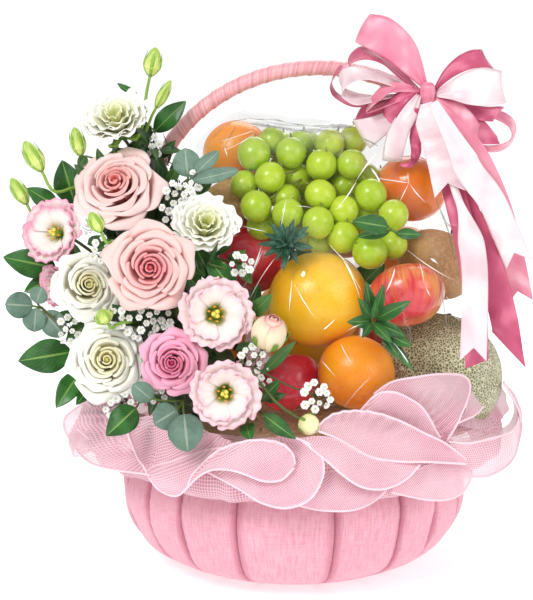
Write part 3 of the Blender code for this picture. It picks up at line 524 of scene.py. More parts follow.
# %% [markdown]
# ## The wrapped handle
# The handle is a hoop wound with satin ribbon. Each turn of ribbon lies half over the last
# one, so the surface steps down along a spiral: the radius is R plus a step times the
# fraction of (length / pitch - turn), a saw that climbs once for each winding.

# %% Handle
HANDLE_RADIUS, HANDLE_SIDES = 0.0074, 28
HANDLE_X, HANDLE_HALF_WIDTH = 0.024, 0.172
HANDLE_SPRING, HANDLE_RISE, HANDLE_Y = 0.336, 0.157, 0.030
FOOT_LEFT, FOOT_RIGHT, FOOT_HEIGHT = -0.128, 0.132, 0.1315
LEG = 0.2  # the share of the hoop that each leg takes
WINDING, WINDING_STEP = 0.0150, 0.0007


def handle_line(part):
    """The middle line, part 0 at the left foot and 1 at the right: two curved legs and half an oval."""
    part = np.asarray(part, float)
    turn = np.pi * (1 - LEG - part) / (1 - 2 * LEG)
    arch = np.stack([HANDLE_X + HANDLE_HALF_WIDTH * np.cos(turn), np.full_like(part, HANDLE_Y),
                     HANDLE_SPRING + HANDLE_RISE * np.sin(turn)], axis=-1)
    side = np.where(part < 0.5, -1.0, 1.0)
    rise = np.clip(np.where(part < 0.5, part, 1 - part) / LEG, 0.0, 1.0)
    foot = np.where(side < 0, FOOT_LEFT, FOOT_RIGHT)
    wide = HANDLE_X + side * HANDLE_HALF_WIDTH
    leg = np.stack([foot + (wide - foot) * np.sin(0.5 * np.pi * rise) ** 0.8,
                    HANDLE_Y + 0.008 * (1 - rise),
                    FOOT_HEIGHT + (HANDLE_SPRING - FOOT_HEIGHT) * rise], axis=-1)
    return np.where(((part >= LEG) & (part <= 1 - LEG))[..., None], arch, leg)


raw_line = handle_line(np.linspace(0, 1, 400))
run = np.concatenate([[0], np.cumsum(np.linalg.norm(np.diff(raw_line, axis=0), axis=1))])
steps = np.linspace(0, run[-1], 560)
middle_line = np.stack([np.interp(steps, run, raw_line[:, k]) for k in range(3)], axis=-1)
turn = 2 * np.pi * np.arange(HANDLE_SIDES) / HANDLE_SIDES
saw = (steps[:, None] / WINDING - turn[None] / (2 * np.pi)) % 1.0
reach = HANDLE_RADIUS + WINDING_STEP * (1 - saw) ** 1.5 - 0.0002
section = np.stack([reach * np.cos(turn), reach * np.sin(turn)], axis=-1)
poles = [np.broadcast_to(middle_line[end], (1, HANDLE_SIDES, 3)) for end in (0, -1)]
tube = np.concatenate([poles[0], carry(middle_line, section), poles[1]])
hoop = Pile().solid(tube, shade=np.pad(saw, ((1, 1), (0, 0)), mode="edge")).mesh("handle_wrap")

wrap = Finish("handle_satin", Roughness=0.42, Specular_IOR_Level=0.4, Sheen_Weight=0.2)
u, v = wrap.map()
winding = (v * (float(run[-1]) / WINDING) - u).part()
streak = wrap.noise(1.0, 2.0, 0.5, wrap.joined(winding * 9.0, v * 40.0))
# painted shade: a dark band along each winding's edge, where one turn of ribbon steps over the last
edge = 1.0 - winding.between(0.0, 0.14)
tint = wrap.mix(streak.between(0.3, 0.7), colour(226, 150, 158), colour(246, 188, 192))
tint = wrap.mix(edge * 0.55, tint, colour(188, 96, 112))
wrap.put("Base Color", tint).relief(streak * 0.4 + winding * 0.6, 0.0006, 0.6)
finish(hoop, wrap.material, "handle_ribbon", "handle")
print("handle:", round(float(run[-1]), 3), "m of hoop in", round(float(run[-1]) / WINDING), "windings")

# %% [markdown]
# ## The fruit
# A fruit is a ball of revolution with its own profile: how wide it is at each height, how
# deep its ends sink, and how lumpy its skin is. Each is worked out about the middle of the
# box of its solid, with its stem end leaned away from straight up. The skins differ in
# their patterns: pores, speckles, streaks or a net, all with a little relief.

# %% Fruit bodies
def ball_of(node):
    """The middle of a fruit's solid, its radius and its height over its width."""
    low, high = (np.array(corner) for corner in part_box(node))
    radius = 0.25 * (high[0] - low[0] + high[1] - low[1])
    return 0.5 * (low + high), radius, (high[2] - low[2]) / (2 * radius)


def lumps(points, size, seed):
    """Smooth lumps from -1 to 1: a sum of a few waves in random directions, each about size long."""
    waves = np.random.default_rng(seed)
    total = np.zeros(points.shape[:-1])
    for _ in range(7):
        way = unit(waves.normal(size=3))
        total += np.sin(2 * np.pi * (points @ way) / (size * waves.uniform(0.8, 1.3)) + waves.uniform(0, 6.28))
    return total / 7


def fruit_grid(node, lean, profile, top, low, lobes, lump, seed, rows=44, columns=64):
    """Rings at polar angle p: radius sin(p) times the profile, height cos(p) less a dip of exp(-(p / width)^2)."""
    middle, radius, tall = ball_of(node)
    polar = np.linspace(0, np.pi, rows)[:, None]
    turn = 2 * np.pi * np.arange(columns)[None] / columns
    wide = np.sin(polar) * profile(polar)
    dip = top[0] * np.exp(-(polar / top[1]) ** 2) - low[0] * np.exp(-((np.pi - polar) / low[1]) ** 2)
    height = tall * np.cos(polar) - dip
    wide = wide * (1 + lobes[1] * np.cos(lobes[0] * turn) * ease(0.15, 1.0, np.abs(np.cos(polar))))
    body = np.stack([wide * np.cos(turn), wide * np.sin(turn), np.broadcast_to(height, wide.shape)], axis=-1)
    body = body * (1 + lump * lumps(body, 0.9, seed))[..., None]
    axis = unit(np.array(lean, float))
    side, up = across(axis, (0.0, 1.0, 0.0))
    turned = body[..., :1] * side + body[..., 1:2] * up + body[..., 2:] * axis
    return middle + radius * turned, middle, radius, axis


def round_profile(polar):
    """A plain ball."""
    return np.ones_like(polar)


def apple_profile(polar):
    """Wide shoulders and a narrower foot."""
    return 1.0 + 0.055 * np.cos(polar) - 0.03 * np.cos(2 * polar)


def stalk(pile, middle, radius, axis, start, length, thickness, bend):
    """A short woody stalk out of a fruit's dip."""
    side, _ = across(axis, (0.0, 1.0, 0.0))
    along = np.linspace(0, 1, 7)[:, None]
    path = middle + axis * (start * radius + along * length) + side * bend * along**2
    pile.solid(stem_grid(path, thickness * np.array([0.8, 0.8, 0.75, 0.75, 0.85, 1.1, 1.2]), 8))


# %% Fruit skins
def orange_look(name, dark, light, glow):
    """Peel with pores: small pits where a pattern of cells is nearest its points, in a deeper colour."""
    look = Finish(name, Roughness=0.34, Specular_IOR_Level=0.5, Coat_Weight=0.25, Coat_Roughness=0.25)
    pit = look.cells(420.0, random=0.9)
    fine = look.noise(924.0, 2.0)
    look.relief(pit.between(0.0, 0.35) + fine * 0.2, 0.0005)
    broad = look.noise(22.0, 2.0)
    tint = look.mix(broad.between(0.3, 0.7), dark, light)
    tint = look.mix((1.0 - pit.between(0.05, 0.30)) * 0.35, tint, glow)
    look.put("Base Color", tint)
    return look


def apple_look(name, deep, red, gold, share, seed):
    """Red over gold: streaks run from the stem to the foot, with pale specks between them."""
    look = Finish(name, Roughness=0.24, Specular_IOR_Level=0.5, Coat_Weight=0.45, Coat_Roughness=0.12)
    u, v = look.map()
    streak = look.noise(1.0, 3.0, 0.6, look.joined(u * 34.0 + seed, v * 2.2))
    broad = look.noise(18.0, 2.0, 0.5, look.place(shift=(seed, 0.0, 0.0)))
    blush = (streak * 0.55 + broad * 0.75).between(0.46 + share, 0.82 + share)
    dark = streak.between(0.35, 0.60) * 0.6 if share > 0.1 else (1.0 - streak.between(0.30, 0.55)) * 0.7
    tint = look.mix(dark, look.mix(blush, red, gold), deep)
    speck = look.cells(420.0, random=1.0)
    size = look.noise(150.0, 1.0)
    dots = (1.0 - speck.between(0.05, 0.17)) * size.between(0.46, 0.60)
    tint = look.mix(dots * 0.85, tint, colour(250, 206, 170))
    look.put("Base Color", tint).relief(streak * 0.3 + dots * 0.5, 0.00018, 0.7)
    return look


orange_skin = orange_look("orange_skin", colour(254, 140, 0), colour(255, 164, 8), colour(238, 114, 0))
pomelo_skin = orange_look("grapefruit_skin", colour(252, 180, 14), colour(255, 202, 34), colour(240, 158, 8))
red_apple = apple_look("red_apple", colour(196, 18, 50), colour(238, 46, 74), colour(244, 130, 112), 0.16, 3.0)
blush_apple = apple_look("blush_apple", colour(206, 34, 50),
                         colour(224, 52, 64), colour(238, 160, 80), 0.07, 8.0)

persimmon_look = Finish("persimmon_skin", Roughness=0.22, Specular_IOR_Level=0.5, Coat_Weight=0.4,
                        Coat_Roughness=0.1)
broad = persimmon_look.noise(26.0, 3.0)
tint = persimmon_look.mix(broad.between(0.3, 0.7), colour(255, 112, 0), colour(255, 146, 8))
persimmon_look.put("Base Color", tint).relief(persimmon_look.noise(300.0, 2.0), 0.00012, 0.5)

pear_look = Finish("russet_pear_skin", Roughness=0.62, Specular_IOR_Level=0.3)
speck = pear_look.cells(560.0, random=1.0)
broad = pear_look.noise(30.0, 3.0, 0.6)
tint = pear_look.mix(broad.between(0.3, 0.7), colour(170, 124, 70), colour(202, 156, 98))
mottle = pear_look.noise(230.0, 3.0, 0.65)
tint = pear_look.mix(mottle.between(0.46, 0.68) * 0.55, tint, colour(222, 184, 128))
tint = pear_look.mix((1.0 - speck.between(0.12, 0.32)) * 0.80, tint, colour(236, 210, 166))
pear_look.put("Base Color", tint).relief((1.0 - speck.between(0.10, 0.30)) + broad * 0.5, 0.00022)

melon_look = Finish("netted_melon_rind", Roughness=0.70, Specular_IOR_Level=0.25)
edge = melon_look.cells(370.0, "DISTANCE_TO_EDGE", random=0.95)
net = 1.0 - edge.between(0.07, 0.17)
broad = melon_look.noise(24.0, 2.0)
ground = melon_look.mix(broad.between(0.3, 0.7), colour(90, 96, 54), colour(126, 128, 78))
thread = melon_look.mix(broad.between(0.35, 0.65), colour(210, 202, 162), colour(230, 224, 190))
melon_look.put("Base Color", melon_look.mix(net, ground, thread)).relief(net, 0.0007)

wood_look = Finish("fruit_stalk", Roughness=0.8, Specular_IOR_Level=0.2)
grain = wood_look.noise(260.0, 3.0)
tint = wood_look.mix(grain, colour(70, 48, 26), colour(122, 92, 52))
wood_look.put("Base Color", tint).relief(grain, 0.0004)

# %% Fruit pieces
FRUIT = (
    # solid, kind, which way its stem end points
    ("orange_front", "orange", (0.35, 0.50, 0.80)),
    ("orange_back", "orange", (-0.30, 0.55, 0.75)),
    ("orange_rear", "orange", (-0.40, -0.20, 0.90)),
    ("orange_rear_right", "orange", (0.50, 0.10, 0.85)),
    ("grapefruit", "pomelo", (-0.25, 0.45, 0.85)),
    ("grapefruit_rear", "pomelo", (0.30, -0.40, 0.85)),
    ("apple_front", "red apple", (-0.55, 0.30, 0.75)),
    ("apple_left", "red apple", (-0.20, 0.55, 0.80)),
    ("apple_rear_left", "red apple", (-0.20, 0.50, 0.85)),
    ("apple_rear", "blush apple", (0.35, 0.45, 0.80)),
    ("apple_right", "blush apple", (-0.15, 0.55, 0.80)),
    ("pear_left", "pear", (-0.40, 0.35, 0.85)),
    ("pear_right", "pear", (0.45, 0.40, 0.80)),
    ("pear_rear", "pear", (0.20, 0.30, 0.90)),
    ("persimmon", "persimmon", (0.25, 0.55, 0.75)),
    ("melon", "melon", (0.20, 0.35, 0.90)),
)
KINDS = {
    # look, slot, profile, dip at the stem and at the foot as (depth, width), lobes as (number, depth), lumps
    "orange": (orange_skin, "orange_peel", round_profile, (0.030, 0.16), (0.030, 0.20), (0, 0.0), 0.008),
    "pomelo": (pomelo_skin, "grapefruit_peel", round_profile, (0.030, 0.20), (0.020, 0.20), (0, 0.0), 0.010),
    "red apple": (red_apple, "apple_skin", apple_profile, (0.230, 0.34), (0.120, 0.30), (5, 0.018), 0.012),
    "blush apple": (blush_apple, "apple_skin", apple_profile, (0.230, 0.34), (0.120, 0.30), (5, 0.018), 0.012),
    "pear": (pear_look, "pear_skin", round_profile, (0.110, 0.28), (0.100, 0.30), (0, 0.0), 0.014),
    "persimmon": (persimmon_look, "persimmon_skin", round_profile, (0.060, 0.40),
                  (0.030, 0.30), (4, 0.016), 0.008),
    "melon": (melon_look, "melon_rind", round_profile, (0.020, 0.20), (0.020, 0.20), (0, 0.0), 0.010),
}
STALKS = {
    # how far below the dip's floor it starts in radii, length, thickness, bend; the others have a thin one
    "orange": (0.04, 0.0030, 0.0022, 0.0), "pomelo": (0.04, 0.0030, 0.0022, 0.0),
    "melon": (0.04, 0.0050, 0.0036, 0.001),
}
stalks = Pile()
for number, (node, kind, lean) in enumerate(FRUIT):
    look, slot, profile, top, low, lobes, lump = KINDS[kind]
    points, middle, radius, axis = fruit_grid(node, lean, profile, top, low, lobes, lump, number + 1)
    body = Pile().solid(points).mesh(node + "_body")
    finish(body, look.material, slot, node)
    dip = ball_of(node)[2] - top[0]
    under, length, thickness, bend = STALKS.get(kind, (0.05, 0.30 * radius, 0.0011, 0.002))
    stalk(stalks, middle, radius, axis, dip - under, length, thickness, bend)
finish(stalks.mesh("fruit_stalks"), wood_look.material, "leaf")

# %% [markdown]
# ## The grapes
# Each grape is its own slightly long ball, on a spot of the front view. The list runs from
# the front grapes to those behind: a grape starts on the bunch's sloping face and is
# pushed back until it only touches those already there. Grapes that the front hides fill
# the back of the solid bunch.

# %% Grape bunch
GRAPE_SPOTS = (
    (254, 154, 16.0), (291, 153, 14.6), (321.5, 165, 14.6), (330, 144, 14.0),
    (270, 177.5, 14.4), (297, 178, 14.4),
    (320.5, 195, 14.4), (371, 195, 15.0), (256, 206.5, 14.6), (287.5, 214, 14.6),
    (318, 223, 14.8), (370, 252, 16.0),
    (343, 237.5, 14.6), (393.5, 215, 14.0), (351.5, 164, 14.0), (344, 186, 13.6), (343.7, 210.5, 13.8),
    (300, 145, 13.6), (353.5, 140, 13.8), (244.5, 185, 13.6), (286.5, 198.5, 13.6), (262, 225, 14.2),
    (393.5, 245, 13.0), (322, 243, 12.6), (272, 141, 13.0), (366, 214, 12.6),
    (306, 238, 12.6), (366, 176, 12.0),
    (272, 193, 12.5), (303, 197, 12.5), (306, 222, 12.0), (335, 178, 12.5), (280, 232, 12.0), (358, 206, 12.5),
    (331, 226, 12.0), (384, 231, 12.0), (356, 227, 12.0), (310, 162, 12.5), (282, 167, 12.5), (378, 181, 12.0),
)
SLOPE_V = (136, 141, 159, 180, 202, 222, 252)
SLOPE_Y = (-0.002, -0.008, -0.026, -0.042, -0.058, -0.072, -0.086)
REAR_ROWS = ((0.416, 0.016, 3, 0.0), (0.398, 0.014, 3, 0.013), (0.380, 0.014, 3, 0.0))
REAR_RADIUS = 0.0135
BACK_STEP = 0.001
BUNCH_HEART = np.array([0.030, -0.006, 0.395])


def grape_middles():
    """Middles and radii: each grape in turn moves back, 1 mm at a time, until it clears those before it."""
    placed = []
    for u, v, radius in GRAPE_SPOTS:
        radius = 1.04 * radius / 1000.0
        y = float(np.interp(v, SLOPE_V, SLOPE_Y))
        middle = at(u, v, y)
        while any(np.linalg.norm(middle - other) < 0.92 * (radius + size) for other, size in placed):
            y += BACK_STEP
            middle = at(u, v, y)
        placed.append((middle, radius))
    for height, depth, count, shift in REAR_ROWS:
        for i in range(count):
            middle = np.array([-0.014 + 0.027 * i + shift, depth, height])
            while any(np.linalg.norm(middle - other) < 0.94 * (REAR_RADIUS + size) for other, size in placed):
                middle = middle + np.array([0.0, BACK_STEP, 0.0])
            placed.append((middle, REAR_RADIUS))
    return placed


grape_places = grape_middles()
grape_pile = Pile()
scar_pile = Pile()
polar = np.linspace(0, np.pi, 15)[:, None]
turn = 2 * np.pi * np.arange(22)[None] / 22
for middle, radius in grape_places:
    axis = unit(rng.normal(size=3) * 0.5 + np.array([0.15, 0.35, 1.0]))
    side, up = across(axis, (0.0, 1.0, 0.0))
    wide = np.sin(polar) * (1 + 0.02 * np.cos(polar))
    body = wide[..., None] * (np.cos(turn)[..., None] * side + np.sin(turn)[..., None] * up)
    body = body + 1.04 * np.cos(polar)[..., None] * axis
    grape_pile.solid(middle + radius * body, shade=float(rng.uniform()))
    part = np.linspace(0, 1, 4)[:, None]
    path = middle + axis * (radius + 0.0045 * part) + side * 0.001 * part**2
    scar_pile.solid(stem_grid(path, [0.0016, 0.0010, 0.0008, 0.0008], 6))
grape_bodies = grape_pile.mesh("grape_bodies")
grape_look = Finish("grape_skin", Roughness=0.26, Specular_IOR_Level=0.5, Coat_Weight=0.2, Coat_Roughness=0.2,
                    Subsurface_Weight=0.25, Subsurface_Radius=(0.006, 0.008, 0.002), Subsurface_Scale=1.0)
shade = grape_look.shade()
bloom = grape_look.noise(90.0, 3.0, 0.6)
tint = grape_look.mix(shade, colour(164, 196, 24), colour(196, 216, 50))
tint = grape_look.mix(bloom.between(0.35, 0.75) * 0.35, tint, colour(216, 228, 104))
speck = grape_look.cells(600.0, random=1.0)
tint = grape_look.mix((1.0 - speck.between(0.04, 0.12)) * 0.4, tint, colour(140, 150, 30))
grape_look.put("Base Color", tint).put("Roughness", bloom * 0.18 + 0.18)
finish(grape_bodies, grape_look.material, "grape_skin", "grapes")
twig_look = Finish("grape_twig", Roughness=0.7)
grain = twig_look.noise(200.0)
twig_look.put("Base Color", twig_look.mix(grain, colour(110, 120, 40), colour(150, 150, 70)))
part = np.linspace(0, 1, 6)[:, None]
for middle, radius in grape_places[::2]:
    rise = np.array([0, 0, 0.004]) * np.sin(np.pi * part)
    path = middle + (BUNCH_HEART - middle) * (0.15 + 0.85 * part) + rise
    scar_pile.solid(stem_grid(path, 0.0011, 5))
finish(scar_pile.mesh("grape_twigs"), twig_look.material, "grape_skin")
print("grapes:", len(grape_places))

# %% [markdown]
# ## The clear film
# A sheet of clear wrap is drawn over the fruit and tucked in round it. Its surface is a
# reach from the heart of the heap in each direction, read from the solid film and then
# smoothed, so the wrap spans from fruit to fruit. Long shallow creases are added where the
# wrap is pulled, and the finish lets light through but for a gloss that the creases catch.

# %% Film
FILM_HEART = np.array([0.040, -0.010, 0.270])
FILM_TURNS, FILM_ROWS = 220, 110
FILM_POLAR = math.radians(121.0)
FILM_LOW_EDGE = 0.168
SLIT_ROW, SLIT_TOP = 30, 0.31  # the film's slit starts below this row and this height


def search_tree(piece):
    """A search tree over an object's faces."""
    data = piece.data
    corners = [tuple(v.co) for v in data.vertices]
    return BVHTree.FromPolygons(corners, [tuple(p.vertices) for p in data.polygons])


def film_reach():
    """The first wall met from the heart in each direction, filled where the film is open, then smoothed."""
    tree = search_tree(nodes["film"])
    turns = 2 * np.pi * np.arange(FILM_TURNS) / FILM_TURNS
    polars = np.linspace(0, FILM_POLAR, FILM_ROWS)
    found = np.full((FILM_ROWS, FILM_TURNS), np.nan)
    for j, polar in enumerate(polars):
        for i, turn in enumerate(turns):
            ray = Vector((math.sin(polar) * math.sin(turn), -math.sin(polar) * math.cos(turn), math.cos(polar)))
            hit = tree.ray_cast(Vector(FILM_HEART), ray)
            if hit[0] is not None:
                found[j, i] = hit[3]
    met = ~np.isnan(found)
    for i in range(FILM_TURNS):
        known = np.flatnonzero(met[:, i])
        found[:, i] = np.interp(np.arange(FILM_ROWS), known, found[known, i])
    smooth = found.copy()
    for _ in range(30):
        mean = 0.25 * (np.roll(smooth, 1, 1) + np.roll(smooth, -1, 1))
        mean[1:-1] += 0.25 * (smooth[2:] + smooth[:-2])
        mean[0], mean[-1] = smooth[1].mean(), smooth[-1]
        smooth = mean
    return turns, polars, smooth, met


turns, polars, reach, met = film_reach()
polar, turn = np.meshgrid(polars, turns, indexing="ij")
ray = np.stack([np.sin(polar) * np.sin(turn), -np.sin(polar) * np.cos(turn), np.cos(polar)], axis=-1)
low_reach = np.where(ray[..., 2] < -0.2, (FILM_LOW_EDGE - FILM_HEART[2]) / np.minimum(ray[..., 2], -0.2), 9.0)
reach = np.minimum(reach, low_reach)
place = FILM_HEART + ray * reach[..., None]
PULLS = (
    # where the film is pulled tight, and how far its creases run
    ((0.130, -0.045, 0.440), 0.150), ((0.060, -0.110, 0.300), 0.110), ((0.100, -0.140, 0.240), 0.110),
    ((-0.060, -0.060, 0.330), 0.110), ((0.150, -0.060, 0.360), 0.110), ((0.150, -0.090, 0.260), 0.100),
    ((-0.040, -0.020, 0.420), 0.110), ((0.060, 0.100, 0.330), 0.130), ((-0.060, 0.090, 0.280), 0.120),
)
ridges = np.zeros(reach.shape)
for number, (spot, length) in enumerate(PULLS):
    offset = place - np.array(spot)
    away = np.linalg.norm(offset, axis=-1)
    side, up = across(unit(np.array(spot) - FILM_HEART))
    angle = np.arctan2(offset @ up, offset @ side)
    star = np.cos(7 * angle + 1.3 * number)
    star = star + 0.7 * np.cos(11 * angle + 2.1 * number) + 0.5 * np.cos(17 * angle + number)
    ridges += np.maximum(star - 0.6, 0.0) * np.exp(-(away / length) ** 2 * 3.0) * ease(0.004, 0.020, away)
reach = reach + 0.0014 * np.tanh(ridges)
place = FILM_HEART + ray * reach[..., None]
film_pile = Pile()
film_pile.add(place, around=True, shade=np.tanh(ridges), flip=True)
wrap_film = film_pile.mesh("film_wrap")
slit = ~met
slit = slit | np.roll(slit, 1, 1) | np.roll(slit, -1, 1)
slit[:SLIT_ROW] = False
slit[place[..., 2] > SLIT_TOP] = False
work = bmesh.new()
work.from_mesh(wrap_film.data)
gone = {tuple(np.round(p, 6)) for p in place[slit].astype(np.float32).tolist()}
work.verts.ensure_lookup_table()
in_slit = [v for v in work.verts if tuple(np.round(v.co, 6).tolist()) in gone]
bmesh.ops.delete(work, geom=in_slit, context="VERTS")
work.to_mesh(wrap_film.data)
work.free()

film_look = Finish("clear_film", Roughness=0.06)
tree = film_look.tree
crease = film_look.shade()
fine = film_look.noise(26.0, 3.0, 0.55)
stretch = film_look.noise(1.0, 3.0, 0.6, film_look.place(scale=(70.0, 20.0, 14.0), turn=(0.0, 0.7, 0.3)))
ridge_mask = crease.between(0.25, 0.85)
line = 1.0 - (stretch - 0.5).size().between(0.0, 0.018)
bump = film_look.node("Bump", Height=fine * 0.5 + stretch * 0.5 + crease * 0.4, Distance=0.0030, Strength=0.55)
clear = film_look.node("BsdfTransparent", Color=(0.985, 0.99, 0.99))
gloss = film_look.node("BsdfGlossy", Color=(1.0, 1.0, 1.0), Roughness=0.28, Normal=bump)
edge_on = film_look.node("Fresnel", IOR=1.35, Normal=bump)
share = edge_on * 0.085 + 0.002 + ridge_mask * 0.02 + line * ridge_mask * 0.10
blend = film_look.node("MixShader", i0=share.least(0.35), i1=clear, i2=gloss)
# partly painted shade: the back of the film, where it is gathered, has a pale grey-pink diffuse layer, so the gaps
# between the fruit look shaded instead of white
back_film_shade = film_look.node("BsdfDiffuse", Color=colour(214, 204, 200))
_, depth, _ = film_look.axes(film_look.place())
back_shade_share = depth.between(0.060, 0.110) * (stretch.between(0.30, 0.75) * 0.42 + 0.10)
blend = film_look.node("MixShader", i0=back_shade_share, i1=blend, i2=back_film_shade)
tree.links.new(blend.socket, tree.nodes["Material Output"].inputs["Surface"])
film_look.material.surface_render_method = "BLENDED"
tree.nodes.remove(film_look.shader)
finish(wrap_film, film_look.material, "film", "film")
thicken(wrap_film, 0.00012)
print("film:", len(wrap_film.data.polygons), "faces")

# %% [markdown]
# ## Painted highlights and shade on the film
# Where the wrap is pulled tight into creases, thin white slivers are painted highlights for
# its glints, and grey slivers are painted shade and dull glints on its folds. Each is a sliver
# between two spots of the front view, laid on the film and pointed at both ends.

# %% Painted highlights and shade on the film
# painted highlights: white slivers laid on the film where its creases catch the light
CREASE_GLINTS = (
    # from, to, width in mm
    ((220, 142), (256, 130), 1.0), ((222, 151), (256, 133), 0.9),
    ((243, 123), (266, 130), 0.8), ((224, 146), (228, 158), 1.2),
    ((380, 150), (356, 181), 2.4), ((357, 180), (335, 211), 1.6),
    ((409, 183), (376, 178), 1.3), ((380, 182), (371, 168), 3.2),
    ((409, 184), (408, 172), 1.4), ((409, 183), (399, 203), 1.2),
    ((409, 183), (426, 203), 1.2), ((262, 245), (243, 288), 1.7),
    ((263, 250), (248, 284), 0.8), ((275, 258), (250, 299), 1.0),
    ((304, 271), (302, 277), 6.0), ((292, 280), (289, 312), 1.6),
    ((294, 283), (317, 320), 1.2), ((341, 256), (360, 298), 1.5),
    ((344, 258), (362, 292), 0.7), ((323, 330), (335, 319), 1.8),
    ((395, 268), (386, 292), 2.4), ((242, 226), (267, 232), 1.2),
    ((406, 249), (461, 284), 1.1), ((430, 258), (438, 264), 2.6),
    ((443, 306), (460, 321), 2.0), ((446, 296), (461, 314), 1.0),
    ((441, 195), (460, 232), 0.8), ((440, 217), (461, 236), 3.4),
    ((426, 287), (431, 297), 1.3), ((393, 342), (414, 374), 1.5),
    ((322, 361), (336, 377), 1.2), ((341, 344), (352, 364), 1.1),
    ((296, 206), (312, 208), 0.8), ((281, 226), (286, 198), 1.1),
    ((329, 244), (352, 266), 0.9), ((419, 262), (424, 284), 0.9),
    ((241, 119), (276, 121), 1.0), ((276, 126), (304, 131), 0.8),
    ((322, 130), (340, 126), 0.8), ((488, 300), (497, 330), 1.2),
    ((493, 305), (506, 362), 0.9), ((347, 331), (362, 324), 1.0),
    ((254, 392), (262, 400), 0.8), ((372, 376), (342, 410), 0.8),
)
FOLD_SHADES_AND_GLINTS = (
    # the grey folds of the film's gathered top and right side: painted shade, and dull grey painted glints at the
    # side, in the same columns
    ((212, 138), (235, 120), 1.5), ((233, 121), (250, 118), 1.5),
    ((248, 118), (270, 119.5), 1.8), ((267, 119), (290, 123.5), 2.0),
    ((287, 123), (313, 126), 2.2), ((309, 126), (334, 124), 2.2),
    ((330, 124.5), (362, 122), 2.0), ((250, 123), (292, 129), 6.0),
    ((284, 129), (330, 130), 6.5), ((318, 128), (362, 128), 5.5),
    ((262, 121.5), (306, 127), 1.2), ((360, 133), (378, 146), 4.0),
    ((436, 200), (455, 262), 2.6), ((442, 290), (448, 330), 2.4),
    ((222, 150), (236, 124), 1.4), ((384, 292), (390, 280), 1.2),
)
EYE = AIM + DISTANCE * np.array([0.0, -math.cos(TILT), math.sin(TILT)])
wrap_tree = search_tree(wrap_film)


def on_film(u, v):
    """The place where the front view's spot meets the film, and None where it misses it."""
    ray = unit(at(u, v, -0.1) - EYE)
    hit = wrap_tree.ray_cast(Vector(EYE), Vector(ray))
    return None if hit[0] is None else np.array(hit[0]) - ray * 0.0006


glint_and_shade_pile = Pile()
part = np.linspace(0, 1, 14)
for number, (start, end, width) in enumerate(CREASE_GLINTS + FOLD_SHADES_AND_GLINTS):
    start, end = np.array(start, float), np.array(end, float)
    flow = unit(end - start)
    sideways = np.array([-flow[1], flow[0]])
    bow = 0.04 * np.linalg.norm(end - start) * math.sin(2.1 * number) * np.sin(np.pi * part)
    line = start + (end - start) * part[:, None] + sideways * bow[:, None]
    half = 0.5 * width * (np.sin(np.pi * part**0.8) ** 0.8 * (0.75 + 0.25 * np.sin(9 * part + number)) + 0.04)
    rows = []
    for spot, reach in zip(line, half):
        row = [on_film(*(spot + sideways * reach * side)) for side in (-1, 0, 1)]
        if all(place is not None for place in row):
            row[1] = row[1] + 0.0005 * unit(EYE - row[1])
            rows.append(row)
    if len(rows) > 2:
        glint_and_shade_pile.add(np.array(rows), shade=float(number >= len(CREASE_GLINTS)))
glint_and_shade_look = Finish("film_glint_and_shade_finish", Roughness=0.12, Specular_IOR_Level=0.8)
sliver_u, sliver_v = glint_and_shade_look.map()
grey_shade = glint_and_shade_look.shade()
# painted highlight and shade: the white slivers are near-white and glow a little, the grey ones are darker and do
# not glow
glint_and_shade_look.put("Base Color", glint_and_shade_look.mix(grey_shade, colour(252, 252, 252), colour(142, 142, 134)))
glint_and_shade_look.put("Emission Color", glint_and_shade_look.mix(grey_shade, (1.0, 1.0, 1.0), (0.0, 0.0, 0.0)))
glint_and_shade_look.put("Emission Strength", 0.12)
fading = (1.0 - (sliver_u - 0.5).size() * 1.5) * (1.0 - (sliver_v - 0.5).size() * 0.7)
glint_and_shade_look.put("Alpha", fading * (0.95 - grey_shade * 0.35))
finish(thicken(glint_and_shade_pile.mesh("film_glints_and_shades", weld=False), 0.00008), glint_and_shade_look.material, "film")
print("creases:", len(glint_and_shade_pile.points))

# %% [markdown]
# ## Ribbons
# A satin ribbon is a narrow sheet between two borders. For each loop of the bow the two
# borders are traced as a few spots of the front view, with a depth for each border, and
# smooth curves run through them. The sheet between them is slightly domed, and pleated
# where the knot squeezes it. A folded loop comes back behind itself; a round loop shows
# both its outer and its inner face, so its borders go all the way round.

# %% Ribbon surfaces
RIBBON_COLUMNS = 13


def strip(near, far, steps=56, dome=0.0, pleat=0.0, squeeze=(0.0, 0.0)):
    """Rows between two border curves; dome lifts the middle, and pleats fade away from squeezed ends."""
    first = curve_through(near, steps)
    second = curve_through(far, steps)
    share = np.linspace(0, 1, RIBBON_COLUMNS)[None, :, None]
    sheet = first[:, None] * (1 - share) + second[:, None] * share
    along = unit(np.gradient(0.5 * (first + second), axis=0))
    wide = second - first
    normal = unit(np.cross(along, wide))
    part = np.linspace(0, 1, steps)
    width = np.linalg.norm(wide, axis=-1)
    lift = dome * width[:, None] * (1 - (2 * share[..., 0] - 1) ** 2)
    grip = np.zeros(steps)
    if squeeze[0]:
        grip += np.exp(-(part / squeeze[0]) ** 2)
    if squeeze[1]:
        grip += np.exp(-((1 - part) / squeeze[1]) ** 2)
    lift = lift + pleat * grip[:, None] * np.sin(2 * np.pi * 2.5 * share[..., 0] + 0.6)
    return sheet + normal[:, None] * lift[..., None]


def spots(points, depths):
    """Spots of the front view with their depths, in the frame."""
    u, v = np.array(points, float).T
    return at(u, v, np.interp(np.linspace(0, 1, len(u)), np.linspace(0, 1, len(depths)), depths))


